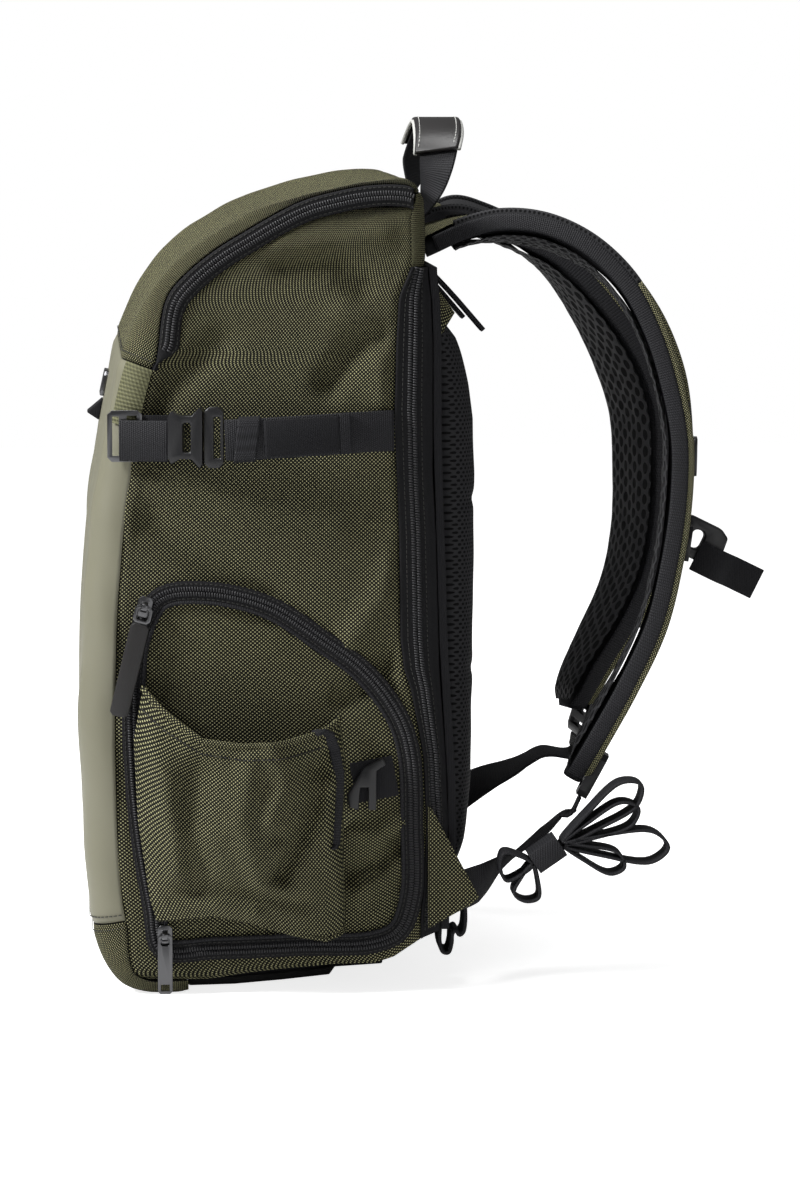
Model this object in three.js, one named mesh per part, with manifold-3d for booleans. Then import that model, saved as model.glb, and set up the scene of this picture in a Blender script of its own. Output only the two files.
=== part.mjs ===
// A camera backpack with a side strap, a side pocket and padded shoulder straps.
// Millimetres, +Z up. The pack's front faces -X, the wearer's back is at +X and
// its right side faces -Y. The origin is on the floor, in the middle of its base.
import * as THREE from 'three';
import { mergeVertices } from 'three/addons/utils/BufferGeometryUtils.js';
import Module from 'manifold-3d';

const wasm = await Module();
wasm.setup();

// Driving dimensions of the body
const BODY_H = 498;
const BODY_D = 217;
const BODY_W = 294;
const WALL = 6.5;
const GAP = 0.3;
const EDGE_GAP = 0.6;
const FRONT_EDGE_R = 21;
const TOP_EDGE_R = 9;
const FOOT_EDGE_R = 8;
const SEAM_BOOT = 42;
const SEAM_LID = 390;
const YOKE_DROP = 53;
const TOP_ZIP_W = 13;
const TOP_ZIP_T = 3;
const BASE_T = 5;
const BOTTOM_T = 3;
const BACK_PANEL_T = 5;
const REAR_BAND_T = 4;
const REAR_BAND_TUCK = 6;

// Driving dimensions of the harness
const STRAP_REACH = 170;
const STRAP_T = 13;
const PAD_W = 100;
const PAD_CHANNEL = 22;
const WEB = 25;
const WEB_T = 2;
const TRIM_T = 1.6;

// Driving dimensions of the pocket, the side strap and the pulls
const POCKET_DEPTH = 36;
const POCKET_WALL = 2.4;
const STRAP_BOW = 15;
const BUCKLE_T = 9;
const ZIP_W = 14;
const PULL_T = 1.6;
const LEATHER_T = 3;
const EYE_R = 1.9;
const HANDLE_SPAN = 100;
const HANDLE_RISE = 30;

const HALF_W = BODY_W / 2;
const COLOURS = {
  olive: 0x5f6044, coated: 0x7a7a5c, black: 0x1d1e20, mesh: 0x2a2b2d,
  web: 0x232427, plastic: 0x17181a, metal: 0x6b6d70, leather: 0x202023,
};

// Rows of a table become objects with the named columns
function table(columns, rows) {
  return rows.map((row) => Object.fromEntries(columns.map((name, i) => [name, row[i]])));
}

// Outline of the body seen from its right side: x as a share of its depth, z of its height
const PROFILE = table(['x', 'z'], [
  [-0.276, 0.0015], [-0.396, 0.0015], [-0.465, 0.012], [-0.516, 0.040], [-0.548, 0.084],
  [-0.569, 0.171], [-0.576, 0.281], [-0.574, 0.392], [-0.565, 0.492], [-0.541, 0.602],
  [-0.502, 0.709], [-0.459, 0.783], [-0.387, 0.855], [-0.321, 0.892], [-0.230, 0.926],
  [-0.120, 0.955], [-0.009, 0.974], [0.105, 0.988], [0.217, 0.998], [0.313, 1.000],
  [0.359, 0.996], [0.385, 0.982], [0.392, 0.960], [0.396, 0.880],
]);
// Seam between side panel and black rear band, and the rear plane, with height
const REAR_LINES = table(['z', 'seam', 'plane'], [
  [0.060, 0.380, 0.438], [0.100, 0.388, 0.452], [0.200, 0.396, 0.461], [0.293, 0.387, 0.452],
  [0.376, 0.352, 0.438], [0.402, 0.332, 0.434], [0.438, 0.322, 0.432], [0.568, 0.318, 0.424],
  [0.640, 0.312, 0.415], [0.719, 0.305, 0.415], [0.803, 0.311, 0.415], [0.855, 0.318, 0.410],
  [0.880, 0.322, 0.402],
]);
// Lower hem of the side panels along the depth, and half the width of the base pad there
const HEM = table(['x', 'z'], [
  [-0.400, 0.0155], [-0.313, 0.0165], [-0.221, 0.0190], [-0.115, 0.0260], [-0.018, 0.0305],
  [0.146, 0.0360], [0.249, 0.0365], [0.304, 0.0442], [0.387, 0.0680], [0.470, 0.0800],
]);
const BASE_PAD = table(['x', 'half'], [
  [-0.274, 0.80], [-0.140, 0.78], [0.000, 0.70], [0.138, 0.60], [0.160, 0.43], [0.300, 0.37],
]);
// Rear face of the mesh pads, from the bottom to the top
const PAD_FACE = table(['z', 'x'], [
  [0.140, 0.518], [0.172, 0.532], [0.250, 0.544], [0.352, 0.549], [0.430, 0.552],
  [0.630, 0.555], [0.700, 0.551], [0.742, 0.539], [0.800, 0.515], [0.828, 0.479],
]);
// Shoulder strap: x beyond the back as a share of the reach, z of the body height, y of
// half its width, for the outer and the inner edge, and how the left strap hangs apart
const STRAP = table(['xo', 'zo', 'yo', 'xi', 'zi', 'yi', 'leftXo', 'leftXi', 'leftZ'], [
  [-0.0075, 0.908, 0.62, -0.0075, 0.922, 0.27, 0.005, 0.005, 0.000],
  [0.130, 0.931, 0.68, 0.130, 0.932, 0.30, -0.024, -0.024, 0.004],
  [0.260, 0.943, 0.72, 0.265, 0.933, 0.34, -0.070, -0.070, 0.005],
  [0.412, 0.939, 0.76, 0.412, 0.926, 0.37, -0.117, -0.117, 0.000],
  [0.565, 0.915, 0.80, 0.560, 0.910, 0.39, -0.129, -0.123, 0.000],
  [0.700, 0.871, 0.83, 0.690, 0.883, 0.41, -0.123, -0.100, 0.000],
  [0.794, 0.812, 0.85, 0.826, 0.824, 0.42, -0.106, -0.064, 0.000],
  [0.855, 0.747, 0.86, 0.912, 0.753, 0.43, -0.076, -0.010, 0.000],
  [0.894, 0.677, 0.87, 0.940, 0.684, 0.435, -0.047, 0.030, 0.000],
  [0.891, 0.600, 0.87, 0.934, 0.602, 0.44, -0.029, 0.046, 0.000],
  [0.859, 0.524, 0.87, 0.914, 0.528, 0.45, 0.000, 0.055, 0.000],
  [0.804, 0.447, 0.87, 0.874, 0.464, 0.46, 0.012, 0.055, 0.000],
  [0.700, 0.371, 0.87, 0.800, 0.400, 0.48, 0.018, 0.045, 0.000],
  [0.601, 0.309, 0.86, 0.676, 0.331, 0.52, 0.047, 0.058, 0.004],
  [0.512, 0.252, 0.82, 0.554, 0.258, 0.57, 0.118, 0.118, 0.028],
]);
// Pocket edges at the panel, from its bottom to its mouth
const POCKET = table(['v', 'left', 'right'], [
  [0.00, -0.340, 0.155], [0.20, -0.385, 0.164], [0.50, -0.418, 0.158], [0.80, -0.428, 0.166],
  [1.00, -0.402, 0.148],
]);
const POCKET_RIM = table(['u', 'bottom', 'mouth', 'fold'], [
  [0.00, 0.095, 0.385, 0.0], [0.12, 0.100, 0.358, 0.5], [0.30, 0.106, 0.328, -0.6],
  [0.50, 0.097, 0.322, 0.4], [0.72, 0.080, 0.325, -0.5], [0.90, 0.070, 0.334, 0.4],
  [1.00, 0.076, 0.345, 0.0],
]);
// Middle line of the door's zip on the right side, anticlockwise from the lower left
const DOOR_ZIP = table(['x', 'z'], [
  [-0.350, 0.058], [-0.376, 0.110], [-0.408, 0.195], [-0.424, 0.270], [-0.430, 0.367],
  [-0.412, 0.445], [-0.352, 0.492], [-0.230, 0.500], [-0.050, 0.482], [0.110, 0.437],
  [0.215, 0.402], [0.285, 0.366], [0.330, 0.330], [0.352, 0.290], [0.358, 0.210],
  [0.356, 0.120], [0.318, 0.076], [0.245, 0.062], [0.050, 0.060], [-0.200, 0.057],
]);
// Webbing from the wing to the strap's end: right and left
const LOWER_RIGHT = table(['x', 'z', 'y', 'tilt'], [
  [0.075, 0.122, 0.974, 0.0], [0.165, 0.131, 0.930, 0.2], [0.260, 0.145, 0.800, 0.7],
  [0.350, 0.163, 0.710, 1.2], [0.440, 0.188, 0.690, 1.5], [0.500, 0.206, 0.690, 1.57],
]);
const LOWER_LEFT = table(['x', 'z', 'y', 'tilt'], [
  [0.075, 0.124, 0.974, 0.0], [0.170, 0.142, 0.960, 0.2], [0.290, 0.172, 0.880, 0.6],
  [0.440, 0.200, 0.790, 1.1], [0.540, 0.221, 0.750, 1.4],
]);
// Carrying handle: height as a share of its rise above the body, x beyond the back
const HANDLE = table(['y', 'z', 'x', 'turn'], [
  [0.92, -0.94, 0.003, 0.00], [0.98, -0.60, 0.007, 0.05], [1.02, -0.15, 0.030, 0.55],
  [0.98, 0.25, 0.050, 1.10], [0.80, 0.65, 0.075, 1.35], [0.40, 0.92, 0.088, 1.45],
  [0.00, 1.00, 0.090, 1.45], [-0.45, 0.93, 0.088, 1.40], [-0.85, 0.62, 0.084, 1.20],
  [-1.02, 0.15, 0.070, 0.90], [-1.00, -0.40, 0.045, 0.45], [-0.92, -0.94, 0.003, 0.00],
]);
const HANDLE_GRIP_FROM = 0.33;
const HANDLE_GRIP_TO = 0.76;

// Lengths from shares
const X = (share) => share * BODY_D;
const Z = (share) => share * BODY_H;
const V = (x, y, z) => new THREE.Vector3(x, y, z);
const mix = (a, b, t) => a + (b - a) * t;
const clamp = (value, low, high) => Math.min(high, Math.max(low, value));
const smooth = (t) => { const k = clamp(t, 0, 1); return k * k * (3 - 2 * k); };

// A column of a table at a key, in straight steps between its rows
function lookup(rows, key, column, at) {
  if (at <= rows[0][key]) return rows[0][column];
  for (let i = 1; i < rows.length; i += 1) {
    const a = rows[i - 1];
    const b = rows[i];
    if (at <= b[key]) return mix(a[column], b[column], (at - a[key]) / (b[key] - a[key]));
  }
  return rows[rows.length - 1][column];
}
const hemZ = (x) => Z(lookup(HEM, 'x', 'z', x / BODY_D));
const seamX = (z) => X(lookup(REAR_LINES, 'z', 'seam', z / BODY_H));
const planeX = (z) => X(lookup(REAR_LINES, 'z', 'plane', z / BODY_H));
const BACK_X = X(0.415);

// A closed solid from points and faces, turned so that its faces point outwards
function solid(points, faces) {
  const flat = points.flatMap((p) => [p.x, p.y, p.z]);
  let volume = 0;
  const a = V(0, 0, 0);
  const b = V(0, 0, 0);
  const c = V(0, 0, 0);
  faces.forEach(([i, j, k]) => {
    a.copy(points[i]);
    b.copy(points[j]);
    c.copy(points[k]);
    volume += a.dot(b.cross(c));
  });
  const index = faces.flatMap(([i, j, k]) => (volume > 0 ? [i, j, k] : [i, k, j]));
  const geometry = new THREE.BufferGeometry();
  geometry.setAttribute('position', new THREE.Float32BufferAttribute(flat, 3));
  geometry.setIndex(index);
  return mergeVertices(geometry, 1e-4);
}

// A wall between an outer and an inner sheet over the same grid
function wall(outer, inner, nu, nv) {
  const points = [];
  const faces = [];
  const id = (layer, i, j) => layer * (nu + 1) * (nv + 1) + i * (nv + 1) + j;
  [outer, inner].forEach((sheet) => {
    for (let i = 0; i <= nu; i += 1) {
      for (let j = 0; j <= nv; j += 1) points.push(sheet(i / nu, j / nv));
    }
  });
  const quad = (p, q, r, s) => faces.push([p, q, r], [p, r, s]);
  for (let i = 0; i < nu; i += 1) {
    for (let j = 0; j < nv; j += 1) {
      quad(id(0, i, j), id(0, i + 1, j), id(0, i + 1, j + 1), id(0, i, j + 1));
      quad(id(1, i, j + 1), id(1, i + 1, j + 1), id(1, i + 1, j), id(1, i, j));
    }
  }
  for (let i = 0; i < nu; i += 1) {
    quad(id(1, i, 0), id(1, i + 1, 0), id(0, i + 1, 0), id(0, i, 0));
    quad(id(0, i, nv), id(0, i + 1, nv), id(1, i + 1, nv), id(1, i, nv));
  }
  for (let j = 0; j < nv; j += 1) {
    quad(id(0, 0, j), id(0, 0, j + 1), id(1, 0, j + 1), id(1, 0, j));
    quad(id(1, nu, j), id(1, nu, j + 1), id(0, nu, j + 1), id(0, nu, j));
  }
  return solid(points, faces);
}

// A solid through rings of points: capped at its ends, or closed on itself
function loft(rings, closed = false) {
  const n = rings[0].length;
  const points = rings.flat();
  const faces = [];
  const count = rings.length;
  const last = closed ? count : count - 1;
  for (let i = 0; i < last; i += 1) {
    const next = (i + 1) % count;
    for (let j = 0; j < n; j += 1) {
      const k = (j + 1) % n;
      faces.push([i * n + j, next * n + j, next * n + k], [i * n + j, next * n + k, i * n + k]);
    }
  }
  if (!closed) {
    for (let j = 1; j < n - 1; j += 1) {
      faces.push([0, j, j + 1]);
      const base = (count - 1) * n;
      faces.push([base, base + j + 1, base + j]);
    }
  }
  return solid(points, faces);
}

// Points of a smooth line through the given ones, evenly spaced
function along(points, steps, closed = false) {
  const curve = new THREE.CatmullRomCurve3(points, closed, 'centripetal');
  const spaced = curve.getSpacedPoints(steps);
  return closed ? spaced.slice(0, -1) : spaced;
}

// A band of webbing along a line; across gives its width's direction at each point
function ribbon(line, across, width, thick, closed = false) {
  const rings = line.map((p, i) => {
    const before = closed ? line[(i + line.length - 1) % line.length] : line[Math.max(0, i - 1)];
    const after = closed ? line[(i + 1) % line.length] : line[Math.min(line.length - 1, i + 1)];
    const tangent = after.clone().sub(before).normalize();
    const side = across(i / (line.length - 1), p).clone();
    side.addScaledVector(tangent, -side.dot(tangent)).normalize();
    const normal = tangent.clone().cross(side).normalize();
    return [[-1, -1], [1, -1], [1, 1], [-1, 1]].map(([s, n]) => p.clone()
      .addScaledVector(side, s * width / 2).addScaledVector(normal, n * thick / 2));
  });
  return loft(rings, closed);
}

// A flat plate with holes, its outline in its own x and y, centred on its thickness
function plate(outline, holes, thick) {
  const shape = new THREE.Shape(outline.map(([x, y]) => new THREE.Vector2(x, y)));
  holes.forEach((hole) => {
    shape.holes.push(new THREE.Path(hole.map(([x, y]) => new THREE.Vector2(x, y))));
  });
  const geometry = new THREE.ExtrudeGeometry(shape, { depth: thick, bevelEnabled: false });
  geometry.translate(0, 0, -thick / 2);
  geometry.deleteAttribute('normal');
  geometry.deleteAttribute('uv');
  return mergeVertices(geometry, 1e-4);
}

// A rectangle with cut corners about a point
function rect(width, height, cut = 0, cx = 0, cy = 0) {
  const w = width / 2;
  const h = height / 2;
  if (!cut) return [[cx - w, cy - h], [cx + w, cy - h], [cx + w, cy + h], [cx - w, cy + h]];
  return [
    [cx - w + cut, cy - h], [cx + w - cut, cy - h], [cx + w, cy - h + cut],
    [cx + w, cy + h - cut], [cx + w - cut, cy + h], [cx - w + cut, cy + h],
    [cx - w, cy + h - cut], [cx - w, cy - h + cut],
  ];
}

// Solids joined into one
function join(...geometries) {
  const solids = geometries.map((geometry) => {
    const bare = new THREE.BufferGeometry();
    bare.setAttribute('position', geometry.getAttribute('position').clone());
    if (geometry.index) bare.setIndex(geometry.index.clone());
    const merged = mergeVertices(bare, 1e-4);
    return new wasm.Manifold(new wasm.Mesh({
      numProp: 3,
      vertProperties: new Float32Array(merged.getAttribute('position').array),
      triVerts: new Uint32Array(merged.index.array),
    }));
  });
  const mesh = solids.slice(1).reduce((sum, next) => sum.add(next), solids[0]).getMesh();
  const result = new THREE.BufferGeometry();
  result.setAttribute('position', new THREE.BufferAttribute(new Float32Array(mesh.vertProperties), 3));
  result.setIndex(new THREE.BufferAttribute(new Uint32Array(mesh.triVerts), 1));
  return result;
}

// A geometry set on axes of its own at a point
function place(geometry, origin, ax, ay, az) {
  const matrix = new THREE.Matrix4().makeBasis(ax, ay, az).setPosition(origin);
  const placed = geometry.clone().applyMatrix4(matrix);
  if (matrix.determinant() < 0) placed.index.array.reverse();
  return placed;
}
const EX = V(1, 0, 0);
const EY = V(0, 1, 0);
const EZ = V(0, 0, 1);
const OUT_R = V(0, -1, 0);
// Plates on the right side stand in the XZ plane and face outwards
const onSide = (geometry, x, y, z) => place(geometry, V(x, y, z), EX, EZ, OUT_R);

const pack = new THREE.Group();
function add(name, geometry, colour, roughness = 0.9, metalness = 0) {
  const material = new THREE.MeshStandardMaterial({ color: COLOURS[colour], roughness, metalness });
  const mesh = new THREE.Mesh(geometry, material);
  mesh.name = name;
  pack.add(mesh);
}

// Body outline as a smooth line with its outward normal
const PROFILE_STEPS = 240;
const profileLine = new THREE.CatmullRomCurve3(
  PROFILE.map((row) => V(X(row.x), 0, Z(row.z))), false, 'centripetal',
).getSpacedPoints(PROFILE_STEPS);
function profileAt(s) {
  const at = clamp(s, 0, 1) * PROFILE_STEPS;
  const i = Math.min(PROFILE_STEPS - 1, Math.floor(at));
  const point = profileLine[i].clone().lerp(profileLine[i + 1], at - i);
  const before = profileLine[Math.max(0, i - 1)];
  const after = profileLine[Math.min(PROFILE_STEPS, i + 2)];
  const tangent = after.clone().sub(before).normalize();
  return { point, normal: V(-tangent.z, 0, tangent.x) };
}
// The share of the outline where its front or its rear passes a height
function profileShare(z, rear = false) {
  for (let i = 1; i <= PROFILE_STEPS; i += 1) {
    const k = rear ? PROFILE_STEPS - i : i;
    const step = rear ? profileLine[k + 1] : profileLine[k - 1];
    if ((step.z - z) * (profileLine[k].z - z) <= 0 && Math.abs(step.z - profileLine[k].z) > 1e-6) {
      return (rear ? k + (z - profileLine[k].z) / (step.z - profileLine[k].z)
        : k - 1 + (z - step.z) / (profileLine[k].z - step.z)) / PROFILE_STEPS;
    }
  }
  return rear ? 1 : 0;
}
const S_BOOT = profileShare(SEAM_BOOT);
const S_LID = profileShare(SEAM_LID);
const S_TOP = profileShare(Z(0.985), true);
const S_FOOT = profileShare(Z(0.010));
// Radius of the edge between the wrap and the side along the outline
function edgeRadius(s) {
  const low = mix(FOOT_EDGE_R, FRONT_EDGE_R, smooth((s - S_FOOT * 0.5) / (S_BOOT - S_FOOT * 0.5)));
  return mix(low, TOP_EDGE_R, smooth((s - S_LID) / (S_TOP - S_LID) * 2.6));
}
// A point of the wrap: s along the outline, t across from -1 to 1, depth below its skin
const FLAT_SHARE = 0.7;
function wrapPoint(s, t, depth) {
  const { point, normal } = profileAt(s);
  const r = edgeRadius(s);
  const side = Math.sign(t) || 1;
  const a = Math.abs(t);
  let y = (HALF_W - r) * Math.min(1, a / FLAT_SHARE);
  let inset = depth;
  if (a > FLAT_SHARE) {
    const angle = (a - FLAT_SHARE) / (1 - FLAT_SHARE) * Math.PI / 2;
    y = HALF_W - r + (r - depth) * Math.sin(angle);
    inset = depth + (r - depth) * (1 - Math.cos(angle));
  }
  return point.addScaledVector(normal, -inset).setY(side * y);
}
const ACROSS_STEPS = [-1, -0.9, -0.8, -0.7, -0.35, 0, 0.35, 0.7, 0.8, 0.9, 1];
const steps = (from, to, count) => Array.from({ length: count + 1 }, (_, i) => mix(from, to, i / count));
const pick = (list, share) => list[Math.round(share * (list.length - 1))];
const overRows = (sheet, us, vs) => (u, v) => sheet(pick(us, u), pick(vs, v));
function gridWall(sheet, outerDepth, innerDepth, us, vs) {
  const outer = overRows(sheet(outerDepth), us, vs);
  const inner = overRows(sheet(innerDepth), us, vs);
  return wall(outer, inner, us.length - 1, vs.length - 1);
}
const SEAM_SHARE = GAP / (2 * new THREE.CatmullRomCurve3(profileLine).getLength());
const YOKE_Z = BODY_H - YOKE_DROP;
const S_YOKE = profileShare(YOKE_Z, true);
const BOOT_S = steps(0, S_BOOT - SEAM_SHARE, 9);
const FRONT_S = steps(S_BOOT + SEAM_SHARE, S_LID - SEAM_SHARE, 8);
const LID_S = steps(S_LID + SEAM_SHARE, S_TOP - SEAM_SHARE, 16);
const YOKE_S = steps(S_TOP + SEAM_SHARE, S_YOKE, 4);
const wrapSheet = (depth) => (s, t) => wrapPoint(s, t, depth);
add('boot', gridWall(wrapSheet, 0, WALL, BOOT_S, ACROSS_STEPS), 'olive');
add('front_panel', gridWall(wrapSheet, 0, WALL, FRONT_S, ACROSS_STEPS), 'coated', 0.6);
add('top_cover', gridWall(wrapSheet, 0, WALL, LID_S, ACROSS_STEPS), 'olive');
add('yoke', gridWall(wrapSheet, 0, WALL, YOKE_S, ACROSS_STEPS), 'olive');

// The line where the side begins, below the wrap's edge and the top zip
function zipWidth(s) {
  return Math.max(GAP, TOP_ZIP_W * smooth((profileAt(s).point.z - SEAM_LID) / (TOP_ZIP_W * 1.6)));
}
const inAt = (s, depth) => {
  const { point, normal } = profileAt(s);
  return point.addScaledVector(normal, -depth);
};
// Behind its highest point the line drops straight down, and ends at the rear edge
const crestAt = profileLine.reduce((best, p, i) => (p.z > profileLine[best].z ? i : best), 0);
const S_CREST = crestAt / PROFILE_STEPS;
const ZIP_END_X = X(PROFILE[PROFILE.length - 1].x) - TOP_EDGE_R * 1.7 - EDGE_GAP * 2;
const S_ZIP_END = profileLine.findIndex((p, i) => i > crestAt && p.x > ZIP_END_X) / PROFILE_STEPS;
const ZIP_S = [...LID_S.filter((s) => s < S_ZIP_END - SEAM_SHARE * 4), S_ZIP_END];
const dropAt = (s, depth) => profileAt(s).point
  .addScaledVector(profileAt(Math.min(s, S_CREST)).normal, -depth);
const SIDE_LINE = [...BOOT_S, ...FRONT_S].map((s) => inAt(s, edgeRadius(s) + EDGE_GAP + GAP * 2));
SIDE_LINE.push(...ZIP_S.map((s) => dropAt(s, edgeRadius(s) + EDGE_GAP + zipWidth(s) + GAP)));
const LEAST_ROW = 3;
const SIDE_ROWS = [SIDE_LINE[0].z];
SIDE_LINE.forEach((p) => {
  if (p.z > SIDE_ROWS[SIDE_ROWS.length - 1] + LEAST_ROW) SIDE_ROWS.push(p.z);
});
const SIDE_LOW = SIDE_ROWS[0];
const BAND_TOP = YOKE_Z - EDGE_GAP;
SIDE_ROWS[SIDE_ROWS.length - 1] -= EDGE_GAP * 3;
SIDE_ROWS.splice(SIDE_ROWS.findIndex((z) => z > BAND_TOP), 0, BAND_TOP);
const SIDE_TOP = SIDE_ROWS[SIDE_ROWS.length - 1];
function sideFront(z) {
  for (let i = 1; i < SIDE_LINE.length; i += 1) {
    const a = SIDE_LINE[i - 1];
    const b = SIDE_LINE[i];
    if (a.z <= z && b.z > z) return mix(a.x, b.x, (z - a.z) / (b.z - a.z));
  }
  return SIDE_LINE[0].x;
}
function sideRear(z) {
  const edge = inAt(profileShare(clamp(z, YOKE_Z + 1, Z(0.975)), true), TOP_EDGE_R + EDGE_GAP).x;
  const corner = TOP_EDGE_R * 0.7 * smooth((z - SIDE_TOP + 10) / 12);
  return mix(seamX(z), edge, smooth((z - YOKE_Z + 22) / 30)) - corner;
}
// Rows near the floor follow the rising hem
const HEM_REACH = Z(0.24);
function hemmed(x, z, u) {
  const rise = (hemZ(x) - SIDE_LOW) * smooth(u * 3);
  return z + rise * Math.max(0, 1 - (z - SIDE_LOW) / (HEM_REACH - SIDE_LOW));
}
// The right and left side panels, slightly full in the middle
const SIDE_FULL = 3;
const fullness = (u, z) => SIDE_FULL * Math.sin(Math.PI * u) * Math.sin(Math.PI * clamp(z / SIDE_TOP, 0, 1));
const SIDE_COLUMNS = steps(0, 1, 6);
function sidePanel(side) {
  const sheet = (depth) => (u, z0) => {
    const x = mix(sideFront(z0), sideRear(z0), u);
    return V(x, side * (HALF_W - depth + fullness(u, z0)), hemmed(x, z0, u));
  };
  return gridWall(sheet, 0, WALL, SIDE_COLUMNS, SIDE_ROWS);
}
function topZip(side) {
  const sheet = (depth) => (s, v) => dropAt(s, edgeRadius(s) + EDGE_GAP + v * zipWidth(s))
    .setY(side * (HALF_W - depth));
  return gridWall(sheet, 0, TOP_ZIP_T, ZIP_S, [0, 1]);
}
// The black band of the rear compartment, from the side's seam to the rear plane
const BAND_ROWS = SIDE_ROWS.filter((z) => z <= BAND_TOP);
const bandTuck = (u) => REAR_BAND_TUCK * u * u;
function rearBand(side) {
  const sheet = (depth) => (u, z) => {
    const x = mix(sideRear(z) + EDGE_GAP, planeX(z), u);
    return V(x, side * (HALF_W - bandTuck(u) - depth), hemmed(x, z, 1));
  };
  return gridWall(sheet, 0, REAR_BAND_T, steps(0, 1, 3), BAND_ROWS);
}
[['right', -1], ['left', 1]].forEach(([name, side]) => {
  add(`side_panel_${name}`, sidePanel(side), 'olive');
  add(`top_zip_${name}`, topZip(side), 'black', 0.7);
  add(`rear_band_${name}`, rearBand(side), 'black', 0.7);
});

// The back panel behind the bands, and the mesh pads on it
const BACK_HALF = HALF_W - REAR_BAND_TUCK - 1;
const backSheet = (depth) => (u, z0) => {
  const plane = planeX(z0);
  return V(plane + EDGE_GAP + depth, mix(-BACK_HALF, BACK_HALF, u), hemmed(plane, z0, 1));
};
const BACK_LOW = hemmed(planeX(SIDE_LOW), SIDE_LOW, 1);
add('back_panel', gridWall(backSheet, BACK_PANEL_T, 0, [0, 0.5, 1], BAND_ROWS), 'black');

const PAD_SECTION = table(['across', 'out'], [
  [0.00, 0.0], [0.03, 0.55], [0.10, 0.88], [0.24, 1.0], [0.50, 1.03], [0.76, 1.0],
  [0.90, 0.88], [0.97, 0.55], [1.00, 0.0],
]);
function backPad(side) {
  const rings = [];
  const low = PAD_FACE[0].z;
  const high = PAD_FACE[PAD_FACE.length - 1].z;
  for (let i = 0; i <= 12; i += 1) {
    const v = i / 12;
    const z = Z(mix(low, high, v));
    const face = X(lookup(PAD_FACE, 'z', 'x', z / BODY_H));
    const back = planeX(z) + EDGE_GAP + BACK_PANEL_T + EDGE_GAP;
    const end = 1 - 0.12 * smooth(Math.abs(v - 0.5) * 5 - 1.5);
    const middle = (PAD_CHANNEL + PAD_W) / 2;
    rings.push(PAD_SECTION.map((row) => V(
      mix(back, face, row.out),
      side * (middle + (row.across - 0.5) * PAD_W * end),
      z,
    )));
  }
  return loft(rings);
}
add('back_pad_right', backPad(-1), 'mesh');
add('back_pad_left', backPad(1), 'mesh');

// The bottom: a flat rubberised base pad, and a panel that rises from it to the side hems
const basePadHalf = (x) => HALF_W * lookup(BASE_PAD, 'x', 'half', x / BODY_D);
const BASE_FROM = X(BASE_PAD[0].x);
const BASE_TO = X(BASE_PAD[BASE_PAD.length - 1].x);
const baseEdge = BASE_PAD.map((row) => [X(row.x), HALF_W * row.half]);
const baseOutline = [
  ...baseEdge.map(([x, y]) => [x, -y]), ...[...baseEdge].reverse().map(([x, y]) => [x, y]),
];
add('base_pad', plate(baseOutline, [], BASE_T).translate(0, 0, BASE_T / 2), 'black', 0.8);
function bottomSheet(lift) {
  return (u, v) => {
    const x = mix(BASE_FROM, X(REAR_LINES[0].plane) - 1.8, u);
    const a = Math.abs(v * 2 - 1);
    const flat = basePadHalf(x) + 2;
    const band = clamp((x - seamX(0)) / (planeX(0) - seamX(0)), 0, 1);
    const far = HALF_W - WALL - GAP - bandTuck(band);
    const y = a < 0.6 ? flat * a / 0.6 : mix(flat, far, (a - 0.6) / 0.4);
    const rise = smooth((a - 0.6) / 0.4);
    const tail = smooth((x - BASE_TO) / (X(REAR_LINES[0].plane) - BASE_TO));
    const low = BASE_T + GAP + tail * (BACK_LOW - BASE_T - GAP - BOTTOM_T) * 0.8;
    return V(x, Math.sign(v * 2 - 1) * y, mix(low, Math.max(low, hemZ(x)), rise) + lift);
  };
}
add('bottom_panel', wall(bottomSheet(BOTTOM_T), bottomSheet(0), 10, 10), 'black', 0.8);

// Height of the right side's skin, outwards from the middle plane
function skinY(x, z) {
  const front = sideFront(z);
  return HALF_W + fullness(clamp((x - front) / (sideRear(z) - front), 0, 1), z);
}

// The door's zip, lying on the side panel
const doorLine = along(DOOR_ZIP.map((row) => V(X(row.x), 0, Z(row.z))), 44, true)
  .map((p) => p.setY(-(Math.max(skinY(p.x - ZIP_W / 2, p.z), skinY(p.x + ZIP_W / 2, p.z))
    + GAP + TRIM_T / 2)));
add('door_zip', ribbon(doorLine, (t, p) => {
  const i = doorLine.indexOf(p);
  const n = doorLine.length;
  const tangent = doorLine[(i + 1) % n].clone().sub(doorLine[(i + n - 1) % n]).normalize();
  return tangent.cross(EY);
}, ZIP_W, TRIM_T, true), 'black', 0.7);

// The pocket: a bulged cloth wall with an open mouth, on the door's panel
const POCKET_SEAT = GAP + TRIM_T + EDGE_GAP * 2;
function pocketPoint(u, v, depth) {
  const bottom = Z(lookup(POCKET_RIM, 'u', 'bottom', u));
  const mouth = Z(lookup(POCKET_RIM, 'u', 'mouth', u));
  const x = mix(X(lookup(POCKET, 'v', 'left', v)), X(lookup(POCKET, 'v', 'right', v)), u);
  const under = clamp(v / 0.12, 0, 1);
  const z = v < 0.12 ? bottom + 7 * (1 - under) : mix(bottom, mouth, (v - 0.12) / 0.88);
  const edge = Math.pow(Math.sin(Math.PI * clamp(u, 0.0, 1)), 0.45);
  const fill = 0.55 * under + 0.45 * smooth((v - 0.1) / 0.45);
  const fold = lookup(POCKET_RIM, 'u', 'fold', u) * 3 * edge * smooth(v * 4);
  const out = Math.max(0, edge * fill * POCKET_DEPTH + fold);
  const shrink = depth * edge;
  return V(x + depth * (0.5 - u) * 2 * (1 - edge), -(skinY(x, z) + POCKET_SEAT
    + Math.max(out - shrink, 0) + (depth ? 0 : POCKET_WALL * 0.5)), z);
}
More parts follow.
